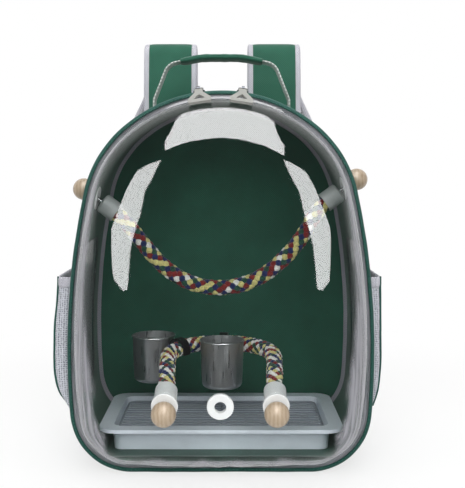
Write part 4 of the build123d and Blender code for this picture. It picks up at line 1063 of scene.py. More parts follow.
# ---- zip sliders and pulls ----
# Die-cast zinc sliders plated in gunmetal, each with a wire link and a finger tab moulded in soft PVC,
# which has a matt skin.
# Gunmetal plate is a dark smooth mirror.
GUNMETAL = metal("zinc_gunmetal", "54565a", 0.24, 1)
for side_name in ("left", "right"):
    finish_nodes(GUNMETAL, f"zip_slider_{side_name}", f"pull_link_{side_name}")
    finish_nodes(TAB_PLASTIC, f"pull_tab_{side_name}")

# ---- carry handle ----
# Cotton-feel polyester webbing stands up from two sewn patches, with a padded cloth sleeve round its
# middle. The webbing's ends are rounded where it folds.
HANDLE_FOOT_X = 82 * MM
HANDLE_FOOT_Z = 401.8 * MM
HANDLE_AXIS_Z = 414.3 * MM
HANDLE_TOP_Z = 474 * MM
HANDLE_TOP_HALF = 65 * MM
ARCH_HALF = 24 * MM
ARCH_DROP = 8 * MM
ARCH_R = 90 * MM
HANDLE_WEB_W = 25 * MM
HANDLE_WEB_T = 2.6 * MM
HANDLE_BEND = 18 * MM
GRIP_L = 102 * MM
GRIP_W = 32 * MM
GRIP_T = 8 * MM
PATCH_T = 1.6 * MM
PATCH_L = 34 * MM
# Polyester webbing has coarse raised picks and a slight sheen. The real ones are 1.2 mm apart; drawn at
# 2.2 mm so that they show.
LIGHT_WEBBING = woven("webbing_pale_grey", "c6cbc7", "8f9692", 2.2 * MM, 0.4 * MM, 0.7)


def rounded_route(points, radii, step):
    """Flat route (a, b) through points with round corners, evenly spaced, with its direction and distances."""
    points = [np.array(p, float) for p in points]
    line = [points[0]]
    for before, here, after, radius in zip(points, points[1:], points[2:], radii):
        to_before = (before - here) / np.linalg.norm(before - here)
        to_after = (after - here) / np.linalg.norm(after - here)
        half = acos(np.clip(to_before.dot(to_after), -1, 1)) / 2
        bisector = (to_before + to_after) / np.linalg.norm(to_before + to_after)
        centre = here + bisector * radius / sin(half)
        start, stop = [here + way * radius / tan(half) - centre for way in (to_before, to_after)]
        turn = atan2(start[0] * stop[1] - start[1] * stop[0], start.dot(stop))
        for k in range(13):
            angle = turn * k / 12
            line.append(centre + np.array([start[0] * cos(angle) - start[1] * sin(angle),
                                           start[0] * sin(angle) + start[1] * cos(angle)]))
    line = np.array([*line, points[-1]])
    along = lengths_along(line)
    steps = np.linspace(0, along[-1], int(along[-1] / step))
    even = at_lengths(steps, along, line)
    ways = np.gradient(even, axis=0)
    return even, ways / np.linalg.norm(ways, axis=1)[:, None], steps


def superellipse(count, flat, thin):
    """Unit section; flat and thin are the powers across and through it."""
    return [(np.sign(a) * abs(a) ** (2 / flat), np.sign(b) * abs(b) ** (2 / thin)) for a, b in circle(count)]


def ribbon(name, centres, across, ups, widths, thicks, section, materials):
    """Band with a section at each centre; faces on the side that ups point to take material 0, the rest 1."""
    vertices, uvs = [], []
    along = lengths_along(centres)
    for centre, side, up, width, thick, length in zip(centres, across, ups, widths, thicks, along):
        for a, b in section:
            vertices.append(centre + side * a * width / 2 + up * b * thick / 2)
            uvs.append((length, a * width / 2))
    count = len(section)
    faces = grid_faces(len(centres), count, wrap_columns=True, caps=True)
    rises = [section[f[0] % count][1] + section[f[3] % count][1] for f in faces[:-2]]
    indices = [0 if len(materials) == 1 or rise > 0 else 1 for rise in rises] + [0, 0]
    return mesh_piece(name, vertices, faces, materials, uvs=uvs, indices=indices)


arch_top = HANDLE_TOP_Z - GRIP_T / 2
handle_points = [(-HANDLE_FOOT_X, HANDLE_FOOT_Z), (-HANDLE_FOOT_X, HANDLE_AXIS_Z + 4 * MM),
                 (-HANDLE_TOP_HALF, arch_top - ARCH_DROP), (-ARCH_HALF, arch_top)]
handle_points += [(-x, z) for x, z in handle_points[::-1]]
bends = [HANDLE_BEND * 0.6, HANDLE_BEND, ARCH_R]
handle_xz, handle_ways, _ = rounded_route(handle_points, bends + bends[::-1], 1.5 * MM)
handle_centres = np.array([(x, 0, z) for x, z in handle_xz])
handle_ups = np.array([(-b, 0, a) for a, b in handle_ways])
handle_across = np.tile((0.0, 1.0, 0.0), (len(handle_centres), 1))
foot_rise = np.clip(HANDLE_AXIS_Z - handle_xz[:, 1], 0, HANDLE_WEB_W / 2 * 0.98)
web_widths = 2 * np.sqrt((HANDLE_WEB_W / 2) ** 2 - foot_rise ** 2)
WEB_SECTION = superellipse(28, 14, 3)
webbing = ribbon("handle_web", handle_centres, handle_across, handle_ups, web_widths,
                 np.full(len(handle_centres), HANDLE_WEB_T * 0.92), WEB_SECTION, [LIGHT_WEBBING])
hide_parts("handle_webbing")
belongs("handle", "light_webbing", webbing)

held = np.abs(handle_xz[:, 0]) <= GRIP_L / 2
grip_centres, grip_ups, grip_across = handle_centres[held], handle_ups[held], handle_across[held]
grip_x = grip_centres[:, 0]
gather = np.clip((GRIP_L / 2 - np.abs(grip_x)) / (9 * MM), 0, 1) ** 0.5
soft = 1 + 0.05 * np.sin(grip_x / MM * 0.42) * np.sin(grip_x / MM * 0.13 + 1)
sleeve = ribbon("handle_sleeve", grip_centres, grip_across, grip_ups, GRIP_W * (0.88 + 0.1 * gather),
                GRIP_T * (0.62 + 0.36 * gather) * soft, superellipse(40, 3.2, 2.4), [POLYESTER])
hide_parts("handle_grip")
belongs("handle", "shell_fabric", sleeve)
grip_line = [[c + up * GRIP_T * 0.2 + (0, y, 0) for c, up in zip(grip_centres[3:-3], grip_ups[3:-3])]
             for y in (-GRIP_W * 0.49, GRIP_W * 0.49)]
belongs("handle", "binding_tape", stitches("handle_sleeve_stitches", grip_line, GREEN_THREAD))


def crown_z(x, lift):
    """Height of the crown at x, lifted off its cloth."""
    return BAG_HEIGHT - CROWN_R + sqrt((CROWN_R + lift) ** 2 - x ** 2)


def boxed_cross(half_x, half_y):
    """Lines of a box of stitches with a cross in it."""
    corners = [(-half_x, -half_y), (half_x, -half_y), (half_x, half_y), (-half_x, half_y)]
    ends = [(0, 1), (1, 2), (2, 3), (3, 0), (0, 2), (1, 3)]
    return [np.linspace(corners[a], corners[b], 13) for a, b in ends]


PATCH_LIFTS = [0.05, 0.6, 1, 1, 1, 1, 1, 1, 1]
PATCH_COUNT = 96
rings = len(PATCH_LIFTS)
border = resampled(rounded_rectangle(PATCH_L / 2, HANDLE_WEB_W / 2 + 3 * MM, 4 * MM), PATCH_COUNT)
crosses = boxed_cross(PATCH_L / 2 - 4 * MM, HANDLE_WEB_W / 2 - 1 * MM)
vertices, faces, uvs, lines = [], [], [], []
for foot_x in (-HANDLE_FOOT_X, HANDLE_FOOT_X):
    made = grid_faces(rings, PATCH_COUNT, wrap_columns=True, start=len(vertices), caps=True)
    faces += made[:-2] + made[-1:]
    for k, lift in enumerate(PATCH_LIFTS):
        for x, y in border * (1 - k / rings):
            vertices.append((foot_x + x, y, crown_z(foot_x + x, PATCH_T * lift)))
            uvs.append((foot_x + x, y))
    for line in crosses:
        lines.append([(foot_x + x, y, crown_z(foot_x + x, PATCH_T + 0.15 * MM)) for x, y in line])
patches = mesh_piece("handle_patch_cloth", vertices, faces, [BINDING_TAPE], uvs=uvs)
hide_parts("handle_patches")
sewn = stitches("handle_patch_stitches", lines, GREEN_THREAD, pitch=3.4 * MM, length=2.4 * MM)
belongs("bag", "binding_tape", patches, sewn)

# ---- shoulder straps ----
# Contoured straps of 10 mm foam: cloth outside, grey spacer mesh inside, their edges bound with tape.
# Each rises from the back, folds over a shoulder and comes down to a buckle and a webbing tail.
BACK_FACE_Y = HALF_DEPTH + BACK_T
STRAP_X = 70 * MM
STRAP_W = 72 * MM
STRAP_T = 11 * MM
STRAP_TOP_Z = 508 * MM
STRAP_FOOT_Z = 368 * MM
STRAP_TIP_Z = 128 * MM
STRAP_TIP_W = 40 * MM
STRAP_SPLAY = 34 * MM
STRAP_FRONT_Y = BACK_FACE_Y + STRAP_T / 2
STRAP_REAR_Y = BACK_FACE_Y + 52 * MM
# grosgrain tape in pale grey, at the scale of the green one
EDGE_TAPE = woven("grosgrain_tape_grey", "cfced6", "a3a2ac", 1.6 * MM, 0.22 * MM, 0.7)
# Spacer mesh is a soft pale net over holes darkened with painted shade. The real ones are 2 mm apart; drawn at
# 3.2 mm so that they show.
SPACER_MESH = knitted_mesh("spacer_mesh_grey", "b9bac0", "34383a", 3.2 * MM, 0)
strap_top = STRAP_TOP_Z - STRAP_T / 2
strap_yz, strap_ways, strap_along = rounded_route([
    (STRAP_FRONT_Y, STRAP_FOOT_Z), (STRAP_FRONT_Y, BAG_HEIGHT + 30 * MM), (STRAP_FRONT_Y + 5 * MM, strap_top),
    (STRAP_FRONT_Y + 33 * MM, strap_top - 4 * MM), (STRAP_REAR_Y - 6 * MM, BAG_HEIGHT - 25 * MM),
    (STRAP_REAR_Y, BAG_HEIGHT * 0.62), (STRAP_REAR_Y - 8 * MM, BAG_HEIGHT * 0.43),
    (STRAP_REAR_Y - 26 * MM, STRAP_TIP_Z)], [60 * MM, 13 * MM, 13 * MM, 90 * MM, 120 * MM, 120 * MM], 2.5 * MM)
tip_x = STRAP_X + STRAP_SPLAY * 0.9


def smooth_through(heights, values, z):
    """Smooth curve through values at falling heights, upright at both ends."""
    heights, values = np.array(heights[::-1]), np.array(values[::-1])
    slopes = np.gradient(values, heights)
    slopes[[0, -1]] = 0
    k = np.clip(np.searchsorted(heights, z) - 1, 0, len(heights) - 2)
    run = heights[k + 1] - heights[k]
    t = np.clip((z - heights[k]) / run, 0, 1)
    return ((2 * t ** 3 - 3 * t ** 2 + 1) * values[k] + (t ** 3 - 2 * t ** 2 + t) * run * slopes[k]
            + (3 * t ** 2 - 2 * t ** 3) * values[k + 1] + (t ** 3 - t ** 2) * run * slopes[k + 1])


strap_heights = [BAG_HEIGHT + 34 * MM, BAG_HEIGHT * 0.94, BAG_HEIGHT * 0.84, BAG_HEIGHT * 0.6,
                 STRAP_TIP_Z - 10 * MM]
falling = strap_along > strap_along[np.argmax(strap_yz[:, 1])]
strap_edges = []
for way, splays in ((-1, (0, 0.42, 0.75, 1.1)), (1, (0, 0.66, 0.95, 1.1))):
    xs = [STRAP_X + STRAP_SPLAY * splay + way * STRAP_W / 2 for splay in splays]
    xs = smooth_through(strap_heights, [*xs, tip_x + way * STRAP_TIP_W / 2], strap_yz[:, 1])
    strap_edges.append(np.where(falling, xs, STRAP_X + way * STRAP_W / 2))
inner_x, outer_x = strap_edges
strap_ends = np.clip(np.minimum(strap_along, strap_along[-1] - strap_along) / (10 * MM), 0, 1) ** 0.5
STRAP_SECTION = [(a, b * (1 - 0.3 * abs(a) ** 6)) for a, b in superellipse(56, 8, 3)]


def both_sides(points, side):
    """Points of the right side, mirrored for the left."""
    return np.array(points) * (side, 1, 1)


def edge_tape(name, line, away, up, half_t):
    """Tape folded over an edge: a rounded U that laps 6 mm onto both faces."""
    lap = 6 * MM
    outline = [(-lap, 0.94), (-lap * 0.4, 1.02)]
    outline += [(half_t * 0.5 * cos(turn), sin(turn) * 1.04) for turn in np.linspace(pi / 2, -pi / 2, 9)]
    outline += [(-lap * 0.4, -1.02), (-lap, -0.94)]
    vertices, uvs = [], []
    for k, (point, side, normal) in enumerate(zip(line, away, up)):
        for a, b in outline:
            vertices.append(point + side * a + normal * b * half_t)
            uvs.append((k * 2.5 * MM, a + b * half_t))
    return mesh_piece(name, vertices, grid_faces(len(line), len(outline)), [EDGE_TAPE], uvs=uvs)


STRAP_EDGE_T = STRAP_T * 0.42
for side_name, side in (("left", -1), ("right", 1)):
    centres = both_sides([((a + b) / 2, y, z) for a, b, (y, z) in zip(inner_x, outer_x, strap_yz)], side)
    across = np.tile((float(side), 0.0, 0.0), (len(centres), 1))
    ups = np.array([(0, -b, a) for a, b in strap_ways])
    widths, thick = outer_x - inner_x - 3 * MM, STRAP_T * (0.45 + 0.53 * strap_ends)
    foam = ribbon(f"strap_pad_{side_name}", centres, across, ups, widths, thick, STRAP_SECTION,
                  [POLYESTER, SPACER_MESH])
    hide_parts(f"shoulder_strap_{side_name}")
    belongs("bag", "strap_fabric", foam)
    for edge, xs, way in (("inner", inner_x, -1), ("outer", outer_x, 1)):
        line = both_sides([(x - way * 2.6 * MM, y, z) for x, (y, z) in zip(xs, strap_yz)], side)
        away = across * way
        belongs("bag", "binding_tape", edge_tape(f"strap_edge_{edge}_{side_name}", line, away, ups, STRAP_EDGE_T))
        for face, turn in (("outside", 1), ("inside", -1)):
            seam = line - away * 4.2 * MM + ups * turn * (STRAP_EDGE_T + 0.35 * MM)
            sewn = stitches(f"strap_stitches_{edge}_{face}_{side_name}", [seam], GREY_THREAD)
            belongs("bag", "binding_tape", sewn)

# ---- strap webbing, buckles and anchor tabs ----
# A 25 mm webbing tail runs from each strap through a ladder-lock buckle to a cloth tab sewn to the
# bag's lower corner.
ANCHOR_X = 112 * MM
ANCHOR_Z = 40 * MM
ANCHOR_SIZE = 46 * MM
ANCHOR_T = 3 * MM
TAIL_W = 25 * MM
TAIL_T = 1.8 * MM
lock_y = STRAP_REAR_Y - 28 * MM
tail_yz, tail_ways, _ = rounded_route([
    (lock_y, STRAP_TIP_Z - 1 * MM), (lock_y - 6 * MM, STRAP_TIP_Z - 45 * MM),
    (BACK_FACE_Y + ANCHOR_T + TAIL_T, ANCHOR_Z + 16 * MM),
    (BACK_FACE_Y + ANCHOR_T + TAIL_T / 2, ANCHOR_Z - 8 * MM)], [40 * MM, 12 * MM], 2 * MM)


def tail_x(z):
    """Middle of a webbing tail at height z, between its strap's tip and its tab."""
    return np.interp(z, [ANCHOR_Z - 10 * MM, STRAP_TIP_Z], [ANCHOR_X, tip_x])


# corners of a tab: share of its size across, millimetres up
TAB_SHAPE = [(-0.5, -14), (0.275, -14), (0.375, 23), (-0.3, 23)]
TAB_RINGS = [(0, 0.1), (0.04, 0.75), (0.12, 0.92), (0.3, 1), (0.6, 1), (0.95, 1)]
corners = resampled([(ANCHOR_X + a * ANCHOR_SIZE, ANCHOR_Z + b * MM) for a, b in TAB_SHAPE], 120)
middle = corners.mean(axis=0)
for side_name, side in (("left", -1), ("right", 1)):
    centres = both_sides([(tail_x(z), y, z) for y, z in tail_yz], side)
    ups = np.array([(0, -b, a) for a, b in tail_ways])
    count = len(centres)
    tail = ribbon(f"tail_web_{side_name}", centres, np.tile((1.0, 0.0, 0.0), (count, 1)), ups,
                  np.full(count, TAIL_W), np.full(count, TAIL_T), WEB_SECTION, [LIGHT_WEBBING])
    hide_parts(f"strap_webbing_{side_name}")
    belongs("bag", "light_webbing", tail)
    vertices, uvs = [], []
    for share, lift in TAB_RINGS:
        for x, z in middle + (corners - middle) * (1 - share):
            vertices.append((side * x, BACK_FACE_Y + ANCHOR_T * lift, z))
            uvs.append((x, z))
    faces = grid_faces(len(TAB_RINGS), len(corners), wrap_columns=True, caps=True)
    tab = mesh_piece(f"anchor_cloth_{side_name}", vertices, faces[:-2] + faces[-1:], [POLYESTER], uvs=uvs)
    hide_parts(f"anchor_tab_{side_name}")
    belongs("bag", "shell_fabric", tab)
    border = middle + (corners - middle) * 0.84
    line = [(side * x, BACK_FACE_Y + ANCHOR_T + 0.2 * MM, z) for x, z in [*border, border[0]]]
    box = [[(side * (x + tail_x(ANCHOR_Z + z)), BACK_FACE_Y + ANCHOR_T + TAIL_T + 0.5 * MM, ANCHOR_Z + z)
            for x, z in run] for run in boxed_cross(9 * MM, 7 * MM)]
    belongs("bag", "binding_tape",
            stitches(f"anchor_stitches_{side_name}", [line], GREEN_THREAD),
            stitches(f"tail_stitches_{side_name}", box, GREY_THREAD, pitch=3.2 * MM, length=2.3 * MM))
finish_nodes(BLACK_PLASTIC, "ladder_lock_left", "ladder_lock_right")

# ---- back pads ----
# Two foam pads under grey spacer mesh, laid on the back panel with a gap between them. They are sewn
# across every 46 mm, in channels that let air pass behind the wearer's back.
PAD_T = 9 * MM
PAD_W = 112 * MM
PAD_LOW = 76 * MM
PAD_HIGH = 352 * MM
PAD_CHANNEL = 18 * MM
PAD_CORNER = PAD_W * 0.22
PAD_SEWN = 46 * MM
PAD_COUNT = 260
pad_half_w, pad_half_h = PAD_W / 2, (PAD_HIGH - PAD_LOW) / 2
pad_middle = (PAD_LOW + PAD_HIGH) / 2


def inside_by(x, z, half_w, half_h, corner):
    """How far a point is inside a rounded rectangle about the origin."""
    over_x, over_z = abs(x) - half_w + corner, abs(z) - half_h + corner
    return corner - sqrt(max(over_x, 0) ** 2 + max(over_z, 0) ** 2) - min(max(over_x, over_z), 0)


def pad_depth(x, z):
    """Rear face of a pad: round at its edge and drawn in along the sewn lines."""
    edge = min(max(inside_by(x, z, pad_half_w, pad_half_h, PAD_CORNER), 0) / (15 * MM), 1)
    nearest = abs((z + PAD_SEWN / 2) % PAD_SEWN - PAD_SEWN / 2)
    channel = min(nearest / (9 * MM), 1)
    drawn_in = 0.5 + 0.5 * sqrt(1 - (1 - channel) ** 2)
    return BACK_FACE_Y + 0.5 * MM + (PAD_T - 0.8 * MM) * sqrt(1 - (1 - edge) ** 2) * drawn_in


border = resampled(rounded_rectangle(pad_half_w - 0.2 * MM, pad_half_h - 0.2 * MM, PAD_CORNER), PAD_COUNT)
spine_z = np.clip(border[:, 1], pad_half_w - pad_half_h, pad_half_h - pad_half_w)
spine = np.stack([np.zeros(PAD_COUNT), spine_z], axis=1)
pad_points = np.concatenate([border + (spine - border) * (1 - cos(pi / 2 * k / 30)) for k in range(31)])
for side_name, side in (("left", -1), ("right", 1)):
    pad_x = side * (PAD_CHANNEL + PAD_W) / 2
    vertices = [(pad_x + x, pad_depth(x, z), pad_middle + z) for x, z in pad_points]
    pad = mesh_piece(f"back_cushion_{side_name}", vertices, grid_faces(31, PAD_COUNT, wrap_columns=True),
                     [SPACER_MESH], uvs=pad_points)
    pad.modifiers.new("weld", "WELD").merge_threshold = 0.2 * MM
    xs = np.linspace(-pad_half_w + 9 * MM, pad_half_w - 9 * MM, 40)
    lines = [[(pad_x + x, pad_depth(x, z) + 0.3 * MM, pad_middle + z) for x in xs]
             for z in PAD_SEWN * np.arange(-2, 3)]
    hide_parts(f"back_pad_{side_name}")
    belongs("bag", "air_mesh", pad)
    belongs("bag", "binding_tape", stitches(f"back_cushion_stitches_{side_name}", lines, GREY_THREAD))

# ---- side pockets ----
# Each side has a flat pocket of pale knitted mesh with pleated ends. Green piping runs down its two
# folds, and a light elastic draws its mouth in.
POCKET_TOP = 211 * MM
POCKET_LOW = 34 * MM
POCKET_HALF = 73 * MM
POCKET_TRIM = 12 * MM
POCKET_FOOT = 6 * MM
POCKET_MOUTH = 18 * MM
POCKET_COLUMNS = 150
PIPING_R = 1.5 * MM
# Pale knitted mesh, half clear, so that the green wall greys it, with painted shade in its holes. The real holes
# are
# 1.5 mm apart; drawn at 3 mm so that they show.
POCKET_MESH = knitted_mesh("knitted_mesh_pocket", "c9cbd3", "878b95", 3 * MM, 0.35)


def pocket_reach(z, bulge):
    """How far the pocket stands off the wall at height z."""
    outer = smooth_through([POCKET_TOP, 148 * MM, 82 * MM, POCKET_LOW], [
        BAG_WIDTH / 2 + min(bulge, POCKET_MOUTH), BAG_WIDTH / 2 + bulge,
        BAG_WIDTH / 2 + bulge * 0.8, wall_x(POCKET_LOW) + POCKET_FOOT], np.array([z]))[0]
    return outer - wall_x(z) - 0.8 * MM


def pocket_row(z, reach, seed):
    """Points (y, off the wall) round the pocket at height z: front gusset, panel, rear gusset."""
    turns = np.linspace(0, pi, 500)
    y = -POCKET_HALF * np.sign(np.cos(turns)) * np.abs(np.cos(turns)) ** 0.18
    off = reach * np.abs(np.sin(turns)) ** 0.5
    loop = np.stack([y, off], axis=1)
    along = lengths_along(loop)
    even = np.linspace(0, along[-1], POCKET_COLUMNS)
    y, off = at_lengths(even, along, loop).T
    share = off / max(reach, MM)
    ends = np.clip((np.abs(y) - POCKET_HALF + 9 * MM) / (5 * MM), 0, 1) * np.clip(reach / (12 * MM), 0, 1)
    pleat = 1.5 * MM * ends * np.sin(2 * pi * 2.6 * share + seed) * np.sin(pi * share)
    mouth = np.clip((z - POCKET_TOP + 40 * MM) / (40 * MM), 0, 1)
    low = np.clip((z - POCKET_LOW) / (30 * MM), 0, 1)
    slack = 1.1 * MM * ripple(y, z, 80 * MM, seed) * (1 - mouth) * low
    gathers = 0.7 * MM * mouth * np.sin(y / MM * 0.55 + 1.3 * np.sin(y / MM * 0.11 + seed))
    tucked = y - np.sign(y) * (0.6 * abs(pleat) + 0.4 * pleat)
    return np.stack([tucked, off + (slack + gathers) * share ** 3], axis=1), even


# (off the wall in millimetres, up in half heights), then (inward, off the wall) in millimetres
ELASTIC = [(0.5, -1), (1.0, -0.5), (1.0, 0.6), (0.3, 1), (-0.8, 1), (-1.4, 0.6), (-1.4, -0.5), (-0.9, -1)]
SEWN_EDGE = [(-3, 0.4), (-2.6, 1.5), (0, 2.0), (2.6, 1.9), (3.2, 0.8)]
mouth_z = POCKET_TOP - POCKET_TRIM / 2
zs = np.linspace(mouth_z, POCKET_LOW, 64)
sewn_down = [(-POCKET_HALF, z) for z in zs[::4]]
sewn_down += [(y, POCKET_LOW) for y in np.linspace(-POCKET_HALF, POCKET_HALF, 20)]
sewn_down += [(POCKET_HALF, z) for z in zs[::-4]]
for side_name, side, bulge in (("left", -1, 22.5 * MM), ("right", 1, 13.5 * MM)):
    seed = 11 + side
    levels = [(z, pocket_reach(z, bulge)) for z in zs]
    levels += [(POCKET_LOW, pocket_reach(POCKET_LOW, bulge) * share) for share in (0.7, 0.35, 0.05)]
    vertices, uvs, folds = [], [], ([], [])
    for z, reach in levels:
        row, along = pocket_row(z, reach, seed)
        points = [(side * (wall_x(z) + 0.4 * MM + off), y, z) for y, off in row]
        vertices += points
        uvs += [(a, z) for a in along]
        turn = int(np.argmax(row[:POCKET_COLUMNS // 2, 1] > reach * 0.93))
        if reach > 6 * MM:
            folds[0].append(points[turn])
            folds[1].append(points[POCKET_COLUMNS - 1 - turn])
    net = mesh_piece(f"pocket_net_{side_name}", vertices, grid_faces(len(levels), POCKET_COLUMNS), [POCKET_MESH],
                     uvs=uvs)
    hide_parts(f"pocket_{side_name}")
    belongs("bag", "air_mesh", net)

    row, along = pocket_row(mouth_z, pocket_reach(mouth_z, bulge), seed)
    ways = np.gradient(row, axis=0)
    outs = np.stack([-ways[:, 1], ways[:, 0]], axis=1) / np.linalg.norm(ways, axis=1)[:, None]
    vertices, uvs = [], []
    for (y, off), out, length in zip(row, outs, along):
        for a, b in ELASTIC:
            lift = wall_x(mouth_z) + 0.4 * MM + max(off + out[1] * a * MM, 0)
            vertices.append((side * lift, y + out[0] * a * MM, mouth_z + b * POCKET_TRIM / 2))
            uvs.append((length, a * MM + b * POCKET_TRIM / 2))
    trim = mesh_piece(f"pocket_elastic_{side_name}", vertices,
                      grid_faces(POCKET_COLUMNS, len(ELASTIC), wrap_columns=True), [EDGE_TAPE], uvs=uvs)
    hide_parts(f"pocket_trim_{side_name}")
    belongs("bag", "binding_tape", trim)

    for fold_name, fold, way in (("front", folds[0], -1), ("rear", folds[1], 1)):
        fold = [(*fold[0][:2], POCKET_TOP), *fold]
        vertices = [(x + side * PIPING_R * (0.35 + a), y + PIPING_R * (way * 0.35 + b), z)
                    for x, y, z in fold for a, b in circle(10)]
        piping = mesh_piece(f"pocket_piping_{fold_name}_{side_name}", vertices,
                            grid_faces(len(fold), 10, wrap_columns=True), [BINDING_TAPE])
        belongs("bag", "binding_tape", piping)

    vertices, uvs = [], []
    for k, (y, z) in enumerate(sewn_down):
        at_end, at_foot = abs(abs(y) - POCKET_HALF) < MM, z < POCKET_LOW + MM
        inward = np.array((0, -np.sign(y) * at_end, at_foot), float)
        inward /= np.linalg.norm(inward)
        for a, lift in SEWN_EDGE:
            vertices.append(np.array((side * (wall_x(z) + lift * MM), y, z)) + inward * a * MM)
            uvs.append((k * 7 * MM, a * MM))
    seam = mesh_piece(f"pocket_seam_{side_name}", vertices, grid_faces(len(sewn_down), len(SEWN_EDGE)),
                      [BINDING_TAPE], uvs=uvs)
    belongs("bag", "binding_tape", seam)

# ---- floor pad ----
# A board wrapped in thin foam and coated cloth that wipes clean fills the rounded bottom of the bag. It
# lies loose on the base between the side walls, and the tray stands on it.
PAD_TOP = 13 * MM
# coated polyester is smoother and a little glossier than the wall's cloth; its weave is drawn coarse too
FLOOR_CLOTH = woven("floor_cloth_green", "1d5443", "153f33", 1.6 * MM, 0.12 * MM, 0.55)
under = [tuple(p - n * (WALL_T + 0.2 * MM)) for p, n in zip(RIM, RIM_OUT)]
under = sorted([u for u in under if u[1] < PAD_TOP], key=lambda u: u[0])
left, right = under[0][0], under[-1][0]
top_xs = np.linspace(right - 0.5 * MM, left + 0.5 * MM, 60)
pad_loop = under + [(x, PAD_TOP - 0.9 * MM * (abs(x) / right) ** 6) for x in top_xs]
ys = np.linspace(WALL_FRONT, HALF_DEPTH, 30)
vertices = [(x, y, z) for y in ys for x, z in pad_loop]
faces = grid_faces(len(ys), len(pad_loop), wrap_columns=True, caps=True)
floor_board = mesh_piece("floor_board", vertices, faces, [FLOOR_CLOTH], uvs=[(x, y) for x, y, z in vertices])
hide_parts("floor_pad")
belongs("bag", "floor_cloth", floor_board)

# ---- floor, backdrop and lamps ----
# A white table under the bag fades into a white backdrop. Soft boxes fill the front, the top and the
# sides, and lit cards show in the clear dome: one over the front and a bent strip at each side.
bpy.context.scene.view_settings.view_transform = "Standard"
WHITE = hex_colour("ffffff")
TABLE_HALF = 6.0
# the table fades between these distances from the bag: (near, far, share left far off)
BOUNCE_FADE = (0.3, 0.6, 0.0)
SEEN_FADE = (0.2, 0.8, 0.7)

corners = [(-TABLE_HALF, -TABLE_HALF, 0), (TABLE_HALF, -TABLE_HALF, 0), (TABLE_HALF, TABLE_HALF, 0),
           (-TABLE_HALF, TABLE_HALF, 0)]
# matt paper that takes the bag's shadow and turns to plain white light farther off
paper, tree, shader = new_material("paper_white")
set_node(tree, shader, {"Base Color": hex_colour("f6f6f5"), "Roughness": 0.8})
place = add_node(tree, "TexCoord", {}).outputs["Object"]
distance = add_node(tree, "VectorMath", {"operation": "LENGTH", 0: place}).outputs["Value"]
seen = add_node(tree, "LightPath", {}).outputs["Is Camera Ray"]
fades = [add_node(tree, "MapRange", {"interpolation_type": "SMOOTHERSTEP", 0: distance, "From Min": near,
                                     "From Max": far, "To Min": least}).outputs[0]
         for near, far, least in (BOUNCE_FADE, SEEN_FADE)]
share = add_node(tree, "Mix", {"data_type": "FLOAT", 0: seen, 2: fades[0], 3: fades[1]}).outputs[0]
glow = add_node(tree, "Emission", {"Color": WHITE, "Strength": 1.0}).outputs[0]
nothing = add_node(tree, "BsdfTransparent", {"Color": WHITE}).outputs[0]
beyond = add_node(tree, "MixShader", {0: seen, 1: nothing, 2: glow}).outputs[0]
both = add_node(tree, "MixShader", {0: share, 1: shader.outputs[0], 2: beyond}).outputs[0]
set_node(tree, tree.nodes["Material Output"], {"Surface": both})
table = mesh_piece("table", corners, [(0, 1, 2, 3)], [paper])
table.location.z = CAD_BOX[0][2] - 1.2 * MM
table.visible_glossy = False

world = bpy.data.worlds.new("studio")
bpy.context.scene.world = world
world.use_nodes = True
sky = world.node_tree
sky.nodes.clear()
heading = add_node(sky, "TexCoord", {}).outputs["Generated"]
away = add_node(sky, "SeparateXYZ", {0: heading}).outputs["Y"]
behind = add_node(sky, "MapRange", {"interpolation_type": "SMOOTHSTEP", 0: away, "From Min": -0.3,
                                    "From Max": 0.35}).outputs[0]
room = add_node(sky, "MapRange", {0: behind, "To Min": 0.08, "To Max": 0.9}).outputs[0]
rays = add_node(sky, "LightPath", {}).outputs
mirrored = add_node(sky, "Math", {"operation": "ADD", 0: rays["Is Glossy Ray"],
                                  1: rays["Is Transmission Ray"]}).outputs[0]
far_wall = add_node(sky, "MapRange", {"interpolation_type": "SMOOTHSTEP", 0: away, "From Min": 0.4,
                                      "From Max": 0.9}).outputs[0]
backed = add_node(sky, "Math", {"operation": "MULTIPLY", 0: mirrored, 1: far_wall}).outputs[0]
whiter = add_node(sky, "Math", {"operation": "MAXIMUM", 0: rays["Is Camera Ray"], 1: backed}).outputs[0]
light = add_node(sky, "Background", {"Color": WHITE, "Strength": room}).outputs[0]
white = add_node(sky, "Background", {"Color": WHITE, "Strength": 1.0}).outputs[0]
mixed = add_node(sky, "MixShader", {0: whiter, 1: light, 2: white}).outputs[0]
add_node(sky, "OutputWorld", {"Surface": mixed})


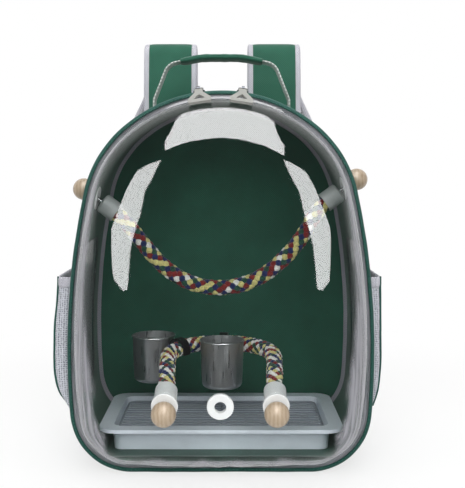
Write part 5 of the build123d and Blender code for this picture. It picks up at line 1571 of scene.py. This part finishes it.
def soft_box(name, place, width, height, watts):
    """Fill lamp turned to the bag, kept out of its reflections."""
    lamp_data = bpy.data.lights.new(name, "AREA")
    lamp_data.shape = "RECTANGLE"
    lamp_data.size, lamp_data.size_y = width, height
    lamp_data.energy = watts
    lamp = bpy.data.objects.new(name, lamp_data)
    lamp.location = place
    lamp.rotation_euler = (Vector((0, 0, 0.2)) - Vector(place)).to_track_quat("-Z", "Y").to_euler()
    lamp.visible_camera = False
    lamp.visible_glossy = False
    bpy.context.scene.collection.objects.link(lamp)


soft_box("fill_front", (0, -1.5, 1.05), 1.4, 1.0, 19)
soft_box("fill_over", (0, -0.35, 1.7), 1.5, 1.2, 10)
soft_box("fill_left", (-1.3, -0.9, 0.5), 0.6, 0.8, 5)
soft_box("fill_right", (1.3, -0.9, 0.5), 0.6, 0.8, 5)
soft_box("fill_low", (0, -0.9, 0.1), 0.9, 0.16, 1.0)


def reflector(name, corners, strength):
    """Lit card of any outline, in millimetres, that shows only in what is glossy."""
    made, tree, shader = new_material(name)
    glow = add_node(tree, "Emission", {"Color": WHITE, "Strength": strength}).outputs[0]
    set_node(tree, tree.nodes["Material Output"], {"Surface": glow})
    tree.nodes.remove(shader)
    card = mesh_piece(name, [Vector(c) * MM for c in corners], [list(range(len(corners)))], [made], smooth=False)
    card.visible_camera = card.visible_diffuse = card.visible_transmission = card.visible_shadow = False


card_over = [(-300, -1150, 730), (-310, -890, 880), (-360, -385, 1175), (-340, -110, 1330), (0, -60, 1360),
             (400, -60, 1370), (430, -265, 1220), (345, -875, 875), (325, -1170, 705), (200, -1120, 735),
             (85, -1097, 753), (-12, -1091, 759), (-160, -1110, 751)]
card_side = [(243, -882, 581), (273, -877, 501), (297, -871, 455), (315, -872, 357), (330, -870, 311),
             (348, -868, 235), (366, -875, 73), (381, -868, 68), (412, -854, 111), (430, -840, 182),
             (460, -828, 313), (400, -838, 405), (375, -841, 464), (341, -850, 540)]
reflector("card_over", card_over, 8.0)
reflector("card_left", [(-x, y, z) for x, y, z in card_side], 7.0)
reflector("card_right", card_side, 7.0)
